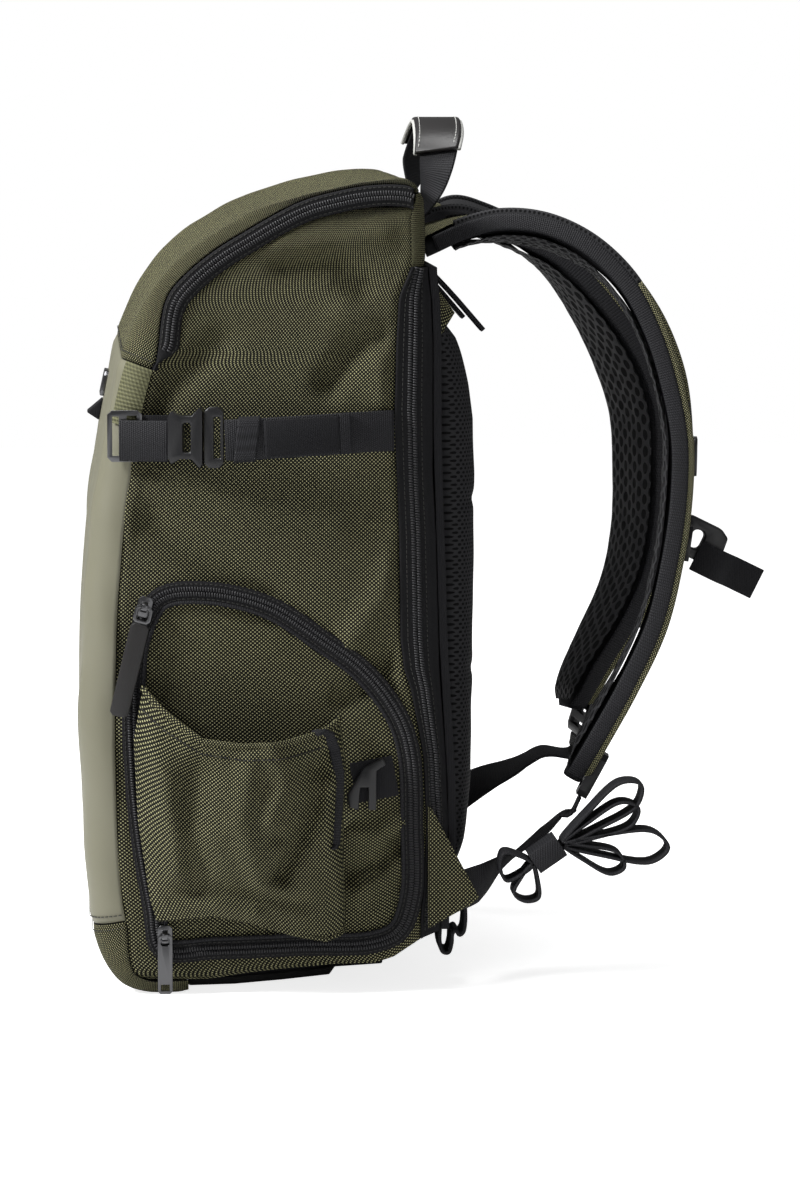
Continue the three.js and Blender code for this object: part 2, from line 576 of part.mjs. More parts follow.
const POCKET_U = [0, 0.03, 0.08, 0.15, 0.25, 0.36, 0.48, 0.6, 0.72, 0.82, 0.9, 0.96, 1];
const pocketU = (u) => POCKET_U[Math.round(u * (POCKET_U.length - 1))];
const POCKET_V = [0, 0.06, 0.12, 0.22, 0.36, 0.52, 0.68, 0.84, 1];
const pocketV = (v) => POCKET_V[Math.round(v * (POCKET_V.length - 1))];
add('pocket', wall(
  (u, v) => pocketPoint(pocketU(u), pocketV(v), 0),
  (u, v) => pocketPoint(pocketU(u), pocketV(v), POCKET_WALL),
  POCKET_U.length - 1, POCKET_V.length - 1,
), 'olive');

// Shoulder pads: a rounded section between an outer and an inner edge line
const PAD_RING = table(['across', 'up'], [
  [-1.00, -0.22], [-0.90, -0.50], [0.00, -0.50], [0.90, -0.50], [1.00, -0.22],
  [1.00, 0.22], [0.90, 0.50], [0.00, 0.50], [-0.90, 0.50], [-1.00, 0.22],
]);
const PAD_STEPS = 26;
function padEdges(side) {
  const edge = (x, z, y, leftX) => new THREE.CatmullRomCurve3(STRAP.map((row) => V(
    BACK_X + (row[x] + (side > 0 ? row[leftX] : 0)) * STRAP_REACH,
    side * HALF_W * row[y],
    Z(row[z] + (side > 0 ? row.leftZ : 0)),
  )));
  return { outer: edge('xo', 'zo', 'yo', 'leftXo'), inner: edge('xi', 'zi', 'yi', 'leftXi') };
}
const EDGES = { '-1': padEdges(-1), 1: padEdges(1) };
function padFrame(side, t) {
  const { outer, inner } = EDGES[side];
  const middle = (at) => outer.getPoint(clamp(at, 0, 1)).add(inner.getPoint(clamp(at, 0, 1)))
    .multiplyScalar(0.5);
  const tangent = middle(t + 0.01).sub(middle(t - 0.01)).normalize();
  const across = inner.getPoint(t).sub(outer.getPoint(t)).multiplyScalar(0.5);
  const up = tangent.clone().cross(across).normalize().multiplyScalar(-side);
  return { middle: middle(t), tangent, across, up };
}
function padPoint(side, t, a, h) {
  const { middle, across, up } = padFrame(side, t);
  return middle.addScaledVector(across, a).addScaledVector(up, h);
}
function shoulderPad(side) {
  const rings = steps(0, 1, PAD_STEPS).map((t) => {
    const end = t > 0.94 ? Math.sqrt(1 - 0.5 * ((t - 0.94) / 0.06) ** 2) : 1;
    return PAD_RING.map((row) => padPoint(side, t, row.across * end, row.up * STRAP_T * end));
  });
  return loft(rings);
}
// A plate laid on a pad's outer face, long side down the strap
function onPad(side, t, a, lift, geometry, slide = 0) {
  const { tangent, up } = padFrame(side, t);
  const point = padPoint(side, t, a, STRAP_T / 2 + lift).addScaledVector(tangent, slide);
  return place(geometry, point, tangent.clone().cross(up), tangent, up);
}
const RAIL_FROM = 14;
const RAIL_TO = 22;
const RAIL_W = 16;
const RAIL_AT = 0.45;
const RAIL_LIFT = GAP + TRIM_T / 2;
const ON_RAIL = GAP * 2 + TRIM_T;
function strapRail(side) {
  const line = steps(RAIL_FROM, RAIL_TO, RAIL_TO - RAIL_FROM)
    .map((i) => padPoint(side, i / PAD_STEPS, RAIL_AT, STRAP_T / 2 + RAIL_LIFT));
  const across = (t) => padFrame(side, mix(RAIL_FROM, RAIL_TO, t) / PAD_STEPS).across;
  return ribbon(line, across, RAIL_W, TRIM_T);
}
const D_RING_T = 3;
const D_RING_AT = 0.60;
const dRing = () => plate(
  [[-12, -9], [-12, 0], [-9, 8], [-4, 12], [4, 12], [9, 8], [12, 0], [12, -9], [10, -12], [-10, -12]],
  [[[-9, -8.5], [9, -8.5], [9, 0], [6.5, 5.5], [3, 9], [-3, 9], [-6.5, 5.5], [-9, 0]]],
  D_RING_T,
);
const SLIDER_T = 3.5;
const SLIDER_AT = 0.697;
const SLIDER_W = 34;
const SLIDER_SLOT = 2.6;
const chestSlider = () => plate(
  rect(SLIDER_W, 22, 7), [5, -5].map((at) => rect(SLIDER_W - 8, SLIDER_SLOT, 0, 0, at)), SLIDER_T,
);

// The open chest strap: the right half hangs out, the left lies on its pad
const CHEST_W = 20;
const CHEST_DIP = 0.46;
const chestAlong = V(Math.cos(CHEST_DIP), 0, -Math.sin(CHEST_DIP));
const chestAcross = V(Math.sin(CHEST_DIP), 0, Math.cos(CHEST_DIP));
const CHEST_FOLD = table(['d', 'out'], [
  [3, 6.4], [9, 7.4], [15, 8.2], [21, 7.0], [25, 3.0], [29, -1.5], [38, -3.0], [48, -3.4],
]);
const SOCKET = [
  [-15, -9], [-13, -12.5], [8, -12.5], [14, -9], [15, 0], [14, 9], [8, 12.5], [-13, 12.5],
  [-15, 9],
];

// Webbing between the lower wing and the pad's end, with its ladder lock
const LOCK_T = 7;
const LOCK_L = 30;
const LOCK_W = 34;
const LOCK_AT = 0.97;
const LOCK_SLIDE = 9;
const LOCK_SLOT = 4;
const LOCK_SLOTS = table(['width', 'at'], [[25.4, 8.2], [24.6, -0.9], [23.8, -8.6]]);
const ladderLock = () => plate(
  rect(LOCK_W, LOCK_L, 4), LOCK_SLOTS.map((row) => rect(row.width, LOCK_SLOT, 0, 0, row.at)), LOCK_T,
);
function lockPoint(side, further) {
  const { tangent } = padFrame(side, LOCK_AT);
  return padPoint(side, LOCK_AT, 0, STRAP_T / 2 + GAP + LOCK_T / 2)
    .addScaledVector(tangent, LOCK_SLIDE + further);
}
function lowerWeb(side, rows) {
  const points = rows.map((row) => V(BACK_X + row.x * STRAP_REACH, side * HALF_W * row.y, Z(row.z)));
  points.push(lockPoint(side, (LOCK_L + WEB) / 2), lockPoint(side, LOCK_L / 2 + EDGE_GAP * 2));
  const { tangent, up } = padFrame(side, LOCK_AT);
  const flat = tangent.clone().cross(up);
  if (flat.y * side < 0) flat.negate();
  const turns = rows.map((row) => V(0, side * Math.sin(row.tilt), Math.cos(row.tilt)));
  turns.push(flat, flat);
  return ribbon(along(points, 16), (t) => {
    const at = t * (turns.length - 1);
    const i = Math.min(turns.length - 2, Math.floor(at));
    return turns[i].clone().lerp(turns[i + 1], at - i);
  }, WEB, WEB_T);
}

// The cloth wings that carry that webbing, and the short tails under the strap roots
const WING_T = 2.5;
const WING = table(['x', 'z'], [
  [0.400, 0.232], [0.412, 0.228], [0.545, 0.118], [0.516, 0.108], [0.400, 0.080],
]);
const wing = (side) => place(
  plate(WING.map((row) => [X(row.x), Z(row.z)]), [], WING_T),
  V(0, side * (HALF_W + EDGE_GAP + WING_T / 2), 0), EX, EZ, OUT_R,
);
const LIFTER_W = 20;
const LIFTER_T = 3;
const lifter = (side) => ribbon(
  [V(BACK_X + 4.4, side * HALF_W * 0.5, Z(0.880)), V(BACK_X + 17, side * HALF_W * 0.5, Z(0.853)),
    V(BACK_X + 36, side * HALF_W * 0.5, Z(0.809))],
  () => EY, LIFTER_W, LIFTER_T,
);
// Folded webbing under the rear, in the shape of a W seen from the side
const LOOP_W = 26;
const LOOP_T = 2.6;
const REAR_LOOP = table(['x', 'z'], [
  [0.4405, 0.0715], [0.4405, 0.055], [0.450, 0.043], [0.465, 0.042], [0.474, 0.053],
  [0.477, 0.066], [0.486, 0.070], [0.497, 0.064], [0.507, 0.067], [0.513, 0.080], [0.513, 0.098],
]);
const rearLoop = (side) => ribbon(
  along(REAR_LOOP.map((row) => V(X(row.x), side * HALF_W * 0.80, Z(row.z))), 22),
  () => EY, LOOP_W, LOOP_T,
);

[['right', -1, LOWER_RIGHT], ['left', 1, LOWER_LEFT]].forEach(([name, side, rows]) => {
  add(`shoulder_pad_${name}`, shoulderPad(side), 'black');
  add(`strap_rail_${name}`, strapRail(side), 'web');
  add(`d_ring_${name}`, onPad(side, D_RING_AT, RAIL_AT, ON_RAIL + D_RING_T / 2, dRing()),
    'plastic', 0.4);
  add(`chest_slider_${name}`, onPad(side, SLIDER_AT, RAIL_AT, ON_RAIL + SLIDER_T / 2, chestSlider()),
    'plastic', 0.4);
  add(`ladder_lock_${name}`, onPad(side, LOCK_AT, 0, GAP + LOCK_T / 2, ladderLock(), LOCK_SLIDE),
    'plastic', 0.4);
  add(`lower_web_${name}`, lowerWeb(side, rows), 'web');
  add(`wing_${name}`, wing(side), 'olive');
  add(`lifter_${name}`, lifter(side), 'web');
  add(`rear_loop_${name}`, rearLoop(side), 'web');
});

const chestY = padPoint(-1, SLIDER_AT, 1, 0).y + BUCKLE_T / 2 - GAP * 0.5;
const chestAt = padPoint(-1, SLIDER_AT, 1, STRAP_T / 2 + ON_RAIL + SLIDER_T)
  .addScaledVector(chestAlong, 8).addScaledVector(EZ, 2).setY(chestY);
add('chest_socket', place(plate(SOCKET, [rect(8, 12, 2, -4, 0)], BUCKLE_T),
  chestAt, chestAlong, chestAcross, OUT_R), 'plastic', 0.4);
const foldAt = chestAt.clone().addScaledVector(chestAlong, -3.4).addScaledVector(chestAcross, -9);
add('chest_web_right', ribbon(
  along(CHEST_FOLD.map((row) => foldAt.clone().addScaledVector(chestAlong, row.d)
    .addScaledVector(OUT_R, row.out)), 16),
  () => chestAcross, CHEST_W, WEB_T,
), 'web');
add('chest_web_left', ribbon(
  [0, 1, 2, 3].map((i) => padPoint(1, SLIDER_AT + 0.03 + i * 0.012, RAIL_AT, STRAP_T / 2 + ON_RAIL + 1)),
  () => padFrame(1, SLIDER_AT).across, CHEST_W, WEB_T,
), 'web');
add('chest_plug', onPad(1, SLIDER_AT + 0.12, RAIL_AT, ON_RAIL + 3, plate(
  [[-12, -12], [-9, -15], [-6, -6], [6, -6], [9, -15], [12, -12], [12, 12], [-12, 12]],
  [rect(16, 3, 0, 0, 7)], 6,
)), 'plastic', 0.4);

// The carrying handle: webbing sewn to the upper back, with a leather grip outside it
const HANDLE_X = X(PROFILE[PROFILE.length - 1].x) + WEB_T / 2 + GAP;
const HANDLE_STEPS = 30;
const handlePoints = HANDLE.map((row) => V(
  HANDLE_X + row.x * STRAP_REACH, row.y * HANDLE_SPAN / 2, BODY_H + row.z * HANDLE_RISE,
));
const handleCurve = new THREE.CatmullRomCurve3(handlePoints);
const handleTurn = (t) => {
  const at = t * (HANDLE.length - 1);
  const i = Math.min(HANDLE.length - 2, Math.floor(at));
  return mix(HANDLE[i].turn, HANDLE[i + 1].turn, at - i);
};
function handleFrame(t) {
  const point = handleCurve.getPoint(t);
  const tangent = handleCurve.getTangent(t);
  const turn = handleTurn(t);
  const across = V(Math.sin(turn), Math.cos(turn) * (t < 0.5 ? 1 : -1), 0);
  across.addScaledVector(tangent, -across.dot(tangent)).normalize();
  const out = tangent.clone().cross(across).normalize();
  if (out.dot(V(0, point.y, 20)) < 0) out.negate();
  return { point, across, out };
}
function handleBand(from, to, count, width, thick, lift) {
  const frames = steps(from, to, count).map(handleFrame);
  const line = frames.map((frame) => frame.point.clone().addScaledVector(frame.out, lift));
  return ribbon(line, (t) => frames[Math.round(t * (frames.length - 1))].across, width, thick);
}
const GRIP_T = 3;
add('handle_web', handleBand(0, 1, HANDLE_STEPS, WEB, WEB_T, 0), 'web');
add('handle_grip', handleBand(
  Math.round(HANDLE_GRIP_FROM * HANDLE_STEPS) / HANDLE_STEPS,
  Math.round(HANDLE_GRIP_TO * HANDLE_STEPS) / HANDLE_STEPS,
  Math.round((HANDLE_GRIP_TO - HANDLE_GRIP_FROM) * HANDLE_STEPS), WEB + 4, GRIP_T,
  WEB_T / 2 + GRIP_T / 2 + EDGE_GAP * 2,
), 'leather', 0.5);

// The side strap: ring, webbing, side-release buckle, keeper and folded-back tail
const STRAP_FROM = X(-0.479);
const STRAP_TO = X(0.303);
const STRAP_Z = Z(0.690);
function strapOut(x) {
  const k = clamp((x - STRAP_FROM) / (STRAP_TO - STRAP_FROM), 0, 1);
  return HALF_W + WEB_T + 2.5 * (1 - k) + STRAP_BOW * Math.sin(Math.PI * k);
}
const strapSlope = (x) => (strapOut(x + 4) - strapOut(x - 4)) / 8;
const strapLine = (from, to, lift, count) => steps(from, to, count)
  .map((x) => V(x, -(strapOut(x) + lift), STRAP_Z + X(0.012) * Math.sin(x / BODY_D * 4)));
const strapBand = (from, to, lift, count, thick = WEB_T) => ribbon(
  strapLine(from, to, lift, count), () => EZ, WEB, thick,
);
const RING_W = 21;
const RING_H = 31;
const RING_T = 3;
const RING_X = STRAP_FROM + 7;
const RING_Y = HALF_W + EDGE_GAP * 2 + RING_T / 2;
add('strap_ring', onSide(plate(rect(RING_W, RING_H, 2.6), [
  rect(4, RING_H - 7, 0, -RING_W / 2 + 5, 0), rect(6.2, RING_H - 6.2, 0, RING_W / 2 - 6.2, 0),
], RING_T), RING_X, -RING_Y, STRAP_Z), 'metal', 0.4, 0.6);
const SOCKET_L = 21;
const SOCKET_H = 37;
const SOCKET_X = X(-0.278);
const PLUG_L = 12;
const PLUG_X = SOCKET_X + SOCKET_L / 2 + GAP + PLUG_L / 2;
const strapFromRing = RING_X - RING_W / 2 + 7.5;
add('strap_web', strapBand(strapFromRing, SOCKET_X - SOCKET_L / 2 - GAP, 0, 5), 'web');
const onStrap = (geometry, x) => {
  const slope = strapSlope(x);
  const tangent = V(1, -slope, 0).normalize();
  const out = V(-slope, -1, 0).normalize();
  return place(geometry, V(x, -strapOut(x), STRAP_Z), tangent, EZ, out);
};
add('buckle_socket', onStrap(plate([
  [-10.5, -12], [-8.5, -16], [-3, -13], [4, -13], [9, -18.5], [10.5, -16], [10.5, 16], [9, 18.5],
  [4, 13], [-3, 13], [-8.5, 16], [-10.5, 12],
], [rect(5, 18, 1, 1, 0)], BUCKLE_T), SOCKET_X), 'plastic', 0.35);
const PLUG_T = BUCKLE_T * 0.7;
add('buckle_plug', onStrap(plate(rect(PLUG_L, SOCKET_H, 3), [rect(4, WEB, 0, 2, 0)], PLUG_T), PLUG_X),
  'plastic', 0.35);
const WEB_START = PLUG_X + PLUG_L / 2 + GAP * 2;
add('rear_web', strapBand(WEB_START, STRAP_TO, 0, 12), 'web');
const TAIL_LIFT = WEB_T + GAP;
const TAIL_TO = X(0.178);
add('strap_tail', strapBand(WEB_START, TAIL_TO, TAIL_LIFT, 9), 'web');
const KEEPER_X = X(-0.110);
const KEEPER_W = 13;
const KEEPER_SLANT = 0.16;
function bandAround(centre, half, high, out, axis, width, thick) {
  const up = out.clone().cross(axis).normalize();
  const corners = [[-1, -1], [0, -1.05], [1, -1], [1.05, 0], [1, 1], [0, 1.05], [-1, 1], [-1.05, 0]];
  const line = corners.map(([a, b]) => centre.clone().addScaledVector(up, a * high)
    .addScaledVector(out, b * half));
  return ribbon(line, () => axis, width, thick, true);
}
const keeperOut = strapOut(KEEPER_X) + TAIL_LIFT / 2;
add('strap_keeper', bandAround(
  V(KEEPER_X, -keeperOut, STRAP_Z + X(0.012) * Math.sin(KEEPER_X / BODY_D * 4)),
  WEB_T + GAP * 2 + TRIM_T / 2, WEB / 2 + GAP * 2 + TRIM_T / 2, OUT_R,
  V(Math.cos(KEEPER_SLANT), -strapSlope(KEEPER_X), Math.sin(KEEPER_SLANT)),
  KEEPER_W, TRIM_T,
), 'black');
const LOOP_FROM = RING_X + RING_W / 2 + GAP;
const LOOP_L = 22;
add('ring_loop', ribbon(
  steps(LOOP_FROM, LOOP_FROM + LOOP_L, 3)
    .map((x) => V(x, -(skinY(x, STRAP_Z) + EDGE_GAP + WEB_T / 2), STRAP_Z)),
  () => EZ, WEB, WEB_T,
), 'web');

// The hook buckle and its webbing beside the pocket
const HOOK_X = X(0.225);
const HOOK_Z = Z(0.262);
const HOOK_T = 4;
const hookY = skinY(HOOK_X, HOOK_Z) + EDGE_GAP + WEB_T + GAP * 2 + HOOK_T / 2;
add('hook_buckle', onSide(plate([
  [-11, -14], [-5, -16], [-4, -2], [1, -2], [1, -16], [6, -16], [6, 8], [12, 12], [10, 16],
  [-2, 10], [-12, -6],
], [], HOOK_T), HOOK_X, -hookY, HOOK_Z), 'plastic', 0.4);
add('hook_web', ribbon(
  steps(HOOK_X - 8, HOOK_X + 18, 3).map((x, i) => V(
    x, -(skinY(x, HOOK_Z) + EDGE_GAP + WEB_T / 2), HOOK_Z + i * 1.5,
  )),
  () => V(-0.2, 0, 1), WEB, WEB_T,
), 'web');

// Zip pulls that swing out on their sliders
function slider(x, y, z, downwards) {
  const across = V(-downwards.z, 0, downwards.x);
  const base = place(plate(rect(9, 13, 2), [], PULL_T), V(x, y, z), across, downwards, OUT_R);
  const arch = plate(
    [[-EYE_R - 1.2, 0], [-EYE_R - 1.2, EYE_R + 0.6], [-EYE_R + 0.3, EYE_R * 2 + 1.2],
      [EYE_R - 0.3, EYE_R * 2 + 1.2], [EYE_R + 1.2, EYE_R + 0.6], [EYE_R + 1.2, 0], [EYE_R, 0],
      [EYE_R, EYE_R + 0.4], [EYE_R * 0.6, EYE_R * 2], [-EYE_R * 0.6, EYE_R * 2], [-EYE_R, EYE_R + 0.4],
      [-EYE_R, 0]],
    [], 3.4,
  );
  const seat = V(x, y - PULL_T / 2 + 0.1, z);
  return join(base, place(arch, seat, downwards, OUT_R, across));
}
function pullBasis(downwards) {
  return V(-downwards.z, 0, downwards.x);
}
const DOOR_PULL_LEAN = 0.24;
const doorDown = V(-Math.sin(DOOR_PULL_LEAN), 0, -Math.cos(DOOR_PULL_LEAN));
const doorPullX = X(-0.395);
const doorPullZ = Z(0.482);
const doorSkin = skinY(doorPullX + ZIP_W / 2, doorPullZ);
const doorSeat = -(doorSkin + GAP + TRIM_T + EDGE_GAP + PULL_T / 2 + 0.4);
add('door_slider', slider(doorPullX, doorSeat, doorPullZ, doorDown), 'metal', 0.35, 0.7);
const doorAxisY = doorSeat - PULL_T / 2 - EYE_R;
const pullPlace = (geometry, x, y, z, down) => place(geometry, V(x, y, z), pullBasis(down), down, OUT_R);
const LINK_W = 11;
const LINK_L = 11;
const linkMiddle = LINK_L / 2 - 1;
add('pull_ring', pullPlace(
  plate(rect(LINK_W, LINK_L, 2, 0, linkMiddle), [rect(LINK_W - 4, LINK_L - 4, 1, 0, linkMiddle)], PULL_T),
  doorPullX, doorAxisY, doorPullZ, doorDown,
), 'metal', 0.35, 0.7);
const TAB_L = 58;
const TAB_W = 11.5;
add('pull_tab', pullPlace(
  plate(rect(TAB_W, TAB_L, 2, 0, LINK_L - 1 + GAP + TAB_L / 2), [], LEATHER_T),
  doorPullX, doorAxisY, doorPullZ, doorDown,
), 'leather', 0.5);
const basePullX = X(-0.343);
const basePullZ = Z(0.076);
const down = V(0, 0, -1);
const baseSeat = -(HALF_W + GAP + TRIM_T + EDGE_GAP * 2 + PULL_T / 2);
add('base_slider', slider(basePullX, baseSeat, basePullZ, down), 'metal', 0.35, 0.7);
const PULL_L = basePullZ - 1.2;
const PULL_W = 9;
const PULL_HOLE = 5.4;
const pullHoles = [rect(PULL_HOLE, 5, 1, 0, 3.4), rect(PULL_HOLE, 4, 0, 0, PULL_L - 4.8)];
add('base_pull', pullPlace(
  plate(rect(PULL_W, PULL_L, 1.5, 0, PULL_L / 2 - 1), pullHoles, PULL_T),
  basePullX, baseSeat - PULL_T / 2 - EYE_R, basePullZ, down,
), 'metal', 0.35, 0.7);

// A blank badge and a small webbing tab on the middle of the front
const badgeAt = profileAt(profileShare(Z(0.735)));
const BADGE_T = 3;
add('badge', place(
  plate(rect(36, 16, 3), [], BADGE_T),
  badgeAt.point.clone().addScaledVector(badgeAt.normal, BADGE_T / 2 + GAP),
  EY, badgeAt.normal.clone().cross(EY), badgeAt.normal,
), 'metal', 0.4, 0.5);
const tabAt = profileAt(profileShare(Z(0.702)));
add('front_tab', place(plate([[0, 7], [0, -7], [8.5, -3.5]], [], 20),
  tabAt.point.clone().addScaledVector(tabAt.normal, GAP * 2),
  tabAt.normal, tabAt.normal.clone().cross(EY).negate(), EY), 'web');

// Spare webbing folded into loops and held by an elastic keeper
const BUNDLE_TILT = 0.6;
const BUNDLE_W = 20;
const bundleAt = V(BACK_X + STRAP_REACH * 0.412, -HALF_W * 0.970, Z(0.171));
const bundleAlong = V(Math.cos(BUNDLE_TILT), 0, Math.sin(BUNDLE_TILT));
const bundleUp = V(-Math.sin(BUNDLE_TILT), 0, Math.cos(BUNDLE_TILT));
const BUNDLE_CORE = 26;
const BUNDLE_HIGH = 10;
const BUNDLE_LOOPS = table(['from', 'reach', 'rise', 'full'], [
  [1, 0.34, 0.250, 0.050], [1, 0.33, 0.165, 0.045], [1, 0.44, 0.020, 0.055],
  [1, 0.28, -0.050, 0.040], [-1, -0.17, -0.045, 0.050], [-1, -0.08, -0.170, 0.045],
]);
const bundleLoops = BUNDLE_LOOPS.map((row) => {
  const from = bundleAt.clone().addScaledVector(bundleAlong, row.from * BUNDLE_CORE * 0.42);
  const tip = bundleAt.clone().add(V(row.reach * STRAP_REACH, 0, row.rise * STRAP_REACH));
  const out = tip.clone().sub(from);
  const bulge = V(-out.z, 0, out.x).normalize().multiplyScalar(row.full * STRAP_REACH);
  const at = (k, b) => from.clone().addScaledVector(out, k).addScaledVector(bulge, b);
  return ribbon(along([from, at(0.4, 0.7), at(0.85, 1), at(1, 0), at(0.85, -1), at(0.4, -0.7)], 16, true),
    () => EY, BUNDLE_W, WEB_T, true);
});
const bundleCore = place(plate(rect(BUNDLE_CORE, BUNDLE_HIGH), [], BUNDLE_W),
  bundleAt, bundleAlong, bundleUp, OUT_R);
// The tail comes down to it from the outer face of the ladder lock
const lockFace = LOCK_T / 2 + EDGE_GAP + WEB_T / 2;
const { tangent: lockDown, up: lockUp } = padFrame(-1, LOCK_AT);
const lockAcross = lockUp.clone().cross(lockDown);
const bundleTail = ribbon(along([
  lockPoint(-1, LOCK_L / 4).addScaledVector(lockUp, lockFace),
  lockPoint(-1, LOCK_L / 2).addScaledVector(lockUp, lockFace),
  lockPoint(-1, LOCK_L * 0.9).addScaledVector(lockUp, lockFace).addScaledVector(OUT_R, WEB * 0.6),
  bundleAt.clone().addScaledVector(bundleAlong, BUNDLE_CORE * 0.8)
    .addScaledVector(bundleUp, BUNDLE_HIGH * 0.6),
  bundleAt.clone().addScaledVector(bundleAlong, BUNDLE_CORE * 0.47),
], 12), (t) => lockAcross.clone().lerp(EY, smooth(t * 2 - 0.8)), BUNDLE_W, WEB_T);
add('web_bundle', join(bundleCore, bundleTail, ...bundleLoops), 'web');
add('bundle_keeper', bandAround(bundleAt, (BUNDLE_W + TRIM_T) / 2 + GAP, (BUNDLE_HIGH + TRIM_T) / 2 + GAP,
  OUT_R, bundleAlong, 20, TRIM_T), 'black');

export default pack;
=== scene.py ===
"""Visual model and studio view of a camera backpack, dressed on its CAD frame."""
import logging
import math
from dataclasses import dataclass
from enum import Enum
from typing import Callable, Iterable, Sequence

import bmesh
import bpy
from mathutils import Matrix, Vector, noise


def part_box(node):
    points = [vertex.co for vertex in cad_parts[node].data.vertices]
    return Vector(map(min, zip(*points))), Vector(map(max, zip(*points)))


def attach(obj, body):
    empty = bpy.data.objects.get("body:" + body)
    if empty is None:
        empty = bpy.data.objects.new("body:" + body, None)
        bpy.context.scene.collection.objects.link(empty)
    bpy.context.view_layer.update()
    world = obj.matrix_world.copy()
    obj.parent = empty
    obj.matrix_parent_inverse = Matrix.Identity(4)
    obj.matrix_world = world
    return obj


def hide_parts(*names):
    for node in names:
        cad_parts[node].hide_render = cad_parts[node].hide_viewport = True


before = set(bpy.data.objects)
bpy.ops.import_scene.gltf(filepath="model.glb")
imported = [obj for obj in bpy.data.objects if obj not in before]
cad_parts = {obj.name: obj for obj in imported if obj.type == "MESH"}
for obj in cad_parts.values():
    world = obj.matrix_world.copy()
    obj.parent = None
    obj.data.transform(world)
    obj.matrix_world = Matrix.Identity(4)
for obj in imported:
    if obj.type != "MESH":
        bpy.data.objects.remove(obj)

LOG = logging.getLogger("backpack")
MM = 0.001
HEIGHT = round(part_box("top_cover")[1].z, 3)
HALF = round(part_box("top_cover")[1].y, 3)
DEPTH = 0.217
REACH = 0.170
BACK = 0.415 * DEPTH
GAP = 0.3 * MM
EDGE_GAP = 0.6 * MM
FLAT_SHARE = 0.7
SEAM_BOOT = 0.042
SEAM_LID = 0.390
YOKE_Z = HEIGHT - 0.053
FRONT_R = 0.021
TOP_R = 0.009
CROWN_R = 0.003
CROWN_AT = 0.034
FOOT_Z = 0.010 * HEIGHT
CREST_Z = 0.985 * HEIGHT
CORNER_Z = 0.94 * HEIGHT
HEM_REACH = 0.24 * HEIGHT
FOOT_R = 0.008
TOP_ZIP_W = 0.013
REAR_TUCK = 0.006
SIDE_FULL = 0.003
WEB = 0.025
WEB_T = 0.002
STRAP_T = 0.013

Point = tuple[float, float]


def mix(a: float, b: float, t: float) -> float:
    """Linear blend of a and b."""
    return a + (b - a) * t


def clamp(value: float, low: float = 0.0, high: float = 1.0) -> float:
    """Value held between low and high."""
    return min(high, max(low, value))


def smooth(t: float) -> float:
    """Smooth step from 0 to 1."""
    k = clamp(t)
    return k * k * (3 - 2 * k)


def bump(distance: float, width: float) -> float:
    """A soft hill of height 1 and about that width."""
    return math.exp(-((distance / width) ** 2))


def ripple(*at: float) -> float:
    """Smooth noise about zero at a place.

    Args:
        at: Up to three coordinates, one wave long per unit.

    Returns:
        A value from about -1 to 1.
    """
    return noise.noise(Vector((*at, *(0.37,) * (3 - len(at)))))


@dataclass(frozen=True)
class Table:
    """Rows of numbers with named columns."""

    columns: tuple[str, ...]
    rows: tuple[tuple[float, ...], ...]

    def column(self, name: str) -> list[float]:
        """All values of one column."""
        i = self.columns.index(name)
        return [row[i] for row in self.rows]

    def at(self, key: str, name: str, value: float) -> float:
        """A column's value where another column has a value, in straight steps.

        Args:
            key: The column that is looked up, rising.
            name: The column that is read.
            value: The place in the key column.

        Returns:
            The value between the two rows around it.
        """
        keys = self.column(key)
        values = self.column(name)
        if value <= keys[0]:
            return values[0]
        for i in range(1, len(keys)):
            if value <= keys[i]:
                return mix(values[i - 1], values[i], (value - keys[i - 1]) / (keys[i] - keys[i - 1]))
        return values[-1]


PROFILE = Table(("x", "z"), (
    (-0.276, 0.0015), (-0.396, 0.0015), (-0.465, 0.012), (-0.516, 0.040), (-0.548, 0.084),
    (-0.569, 0.171), (-0.576, 0.281), (-0.574, 0.392), (-0.565, 0.492), (-0.541, 0.602),
    (-0.502, 0.709), (-0.459, 0.783), (-0.387, 0.855), (-0.321, 0.892), (-0.230, 0.926),
    (-0.120, 0.955), (-0.009, 0.974), (0.105, 0.988), (0.217, 0.998), (0.313, 1.000),
    (0.359, 0.996), (0.385, 0.982), (0.392, 0.960), (0.396, 0.880),
))
REAR_LINES = Table(("z", "seam", "plane"), (
    (0.060, 0.380, 0.438), (0.100, 0.388, 0.452), (0.200, 0.396, 0.461), (0.293, 0.387, 0.452),
    (0.376, 0.352, 0.438), (0.402, 0.332, 0.434), (0.438, 0.322, 0.432), (0.568, 0.318, 0.424),
    (0.640, 0.312, 0.415), (0.719, 0.305, 0.415), (0.803, 0.311, 0.415), (0.855, 0.318, 0.410),
    (0.880, 0.322, 0.402),
))
HEM = Table(("x", "z"), (
    (-0.400, 0.0155), (-0.313, 0.0165), (-0.221, 0.0190), (-0.115, 0.0260), (-0.018, 0.0305),
    (0.146, 0.0360), (0.249, 0.0365), (0.304, 0.0442), (0.387, 0.0680), (0.470, 0.0800),
))
PAD_FACE = Table(("z", "x"), (
    (0.140, 0.518), (0.172, 0.532), (0.250, 0.544), (0.352, 0.549), (0.430, 0.552),
    (0.630, 0.555), (0.700, 0.551), (0.742, 0.539), (0.800, 0.515), (0.828, 0.479),
))
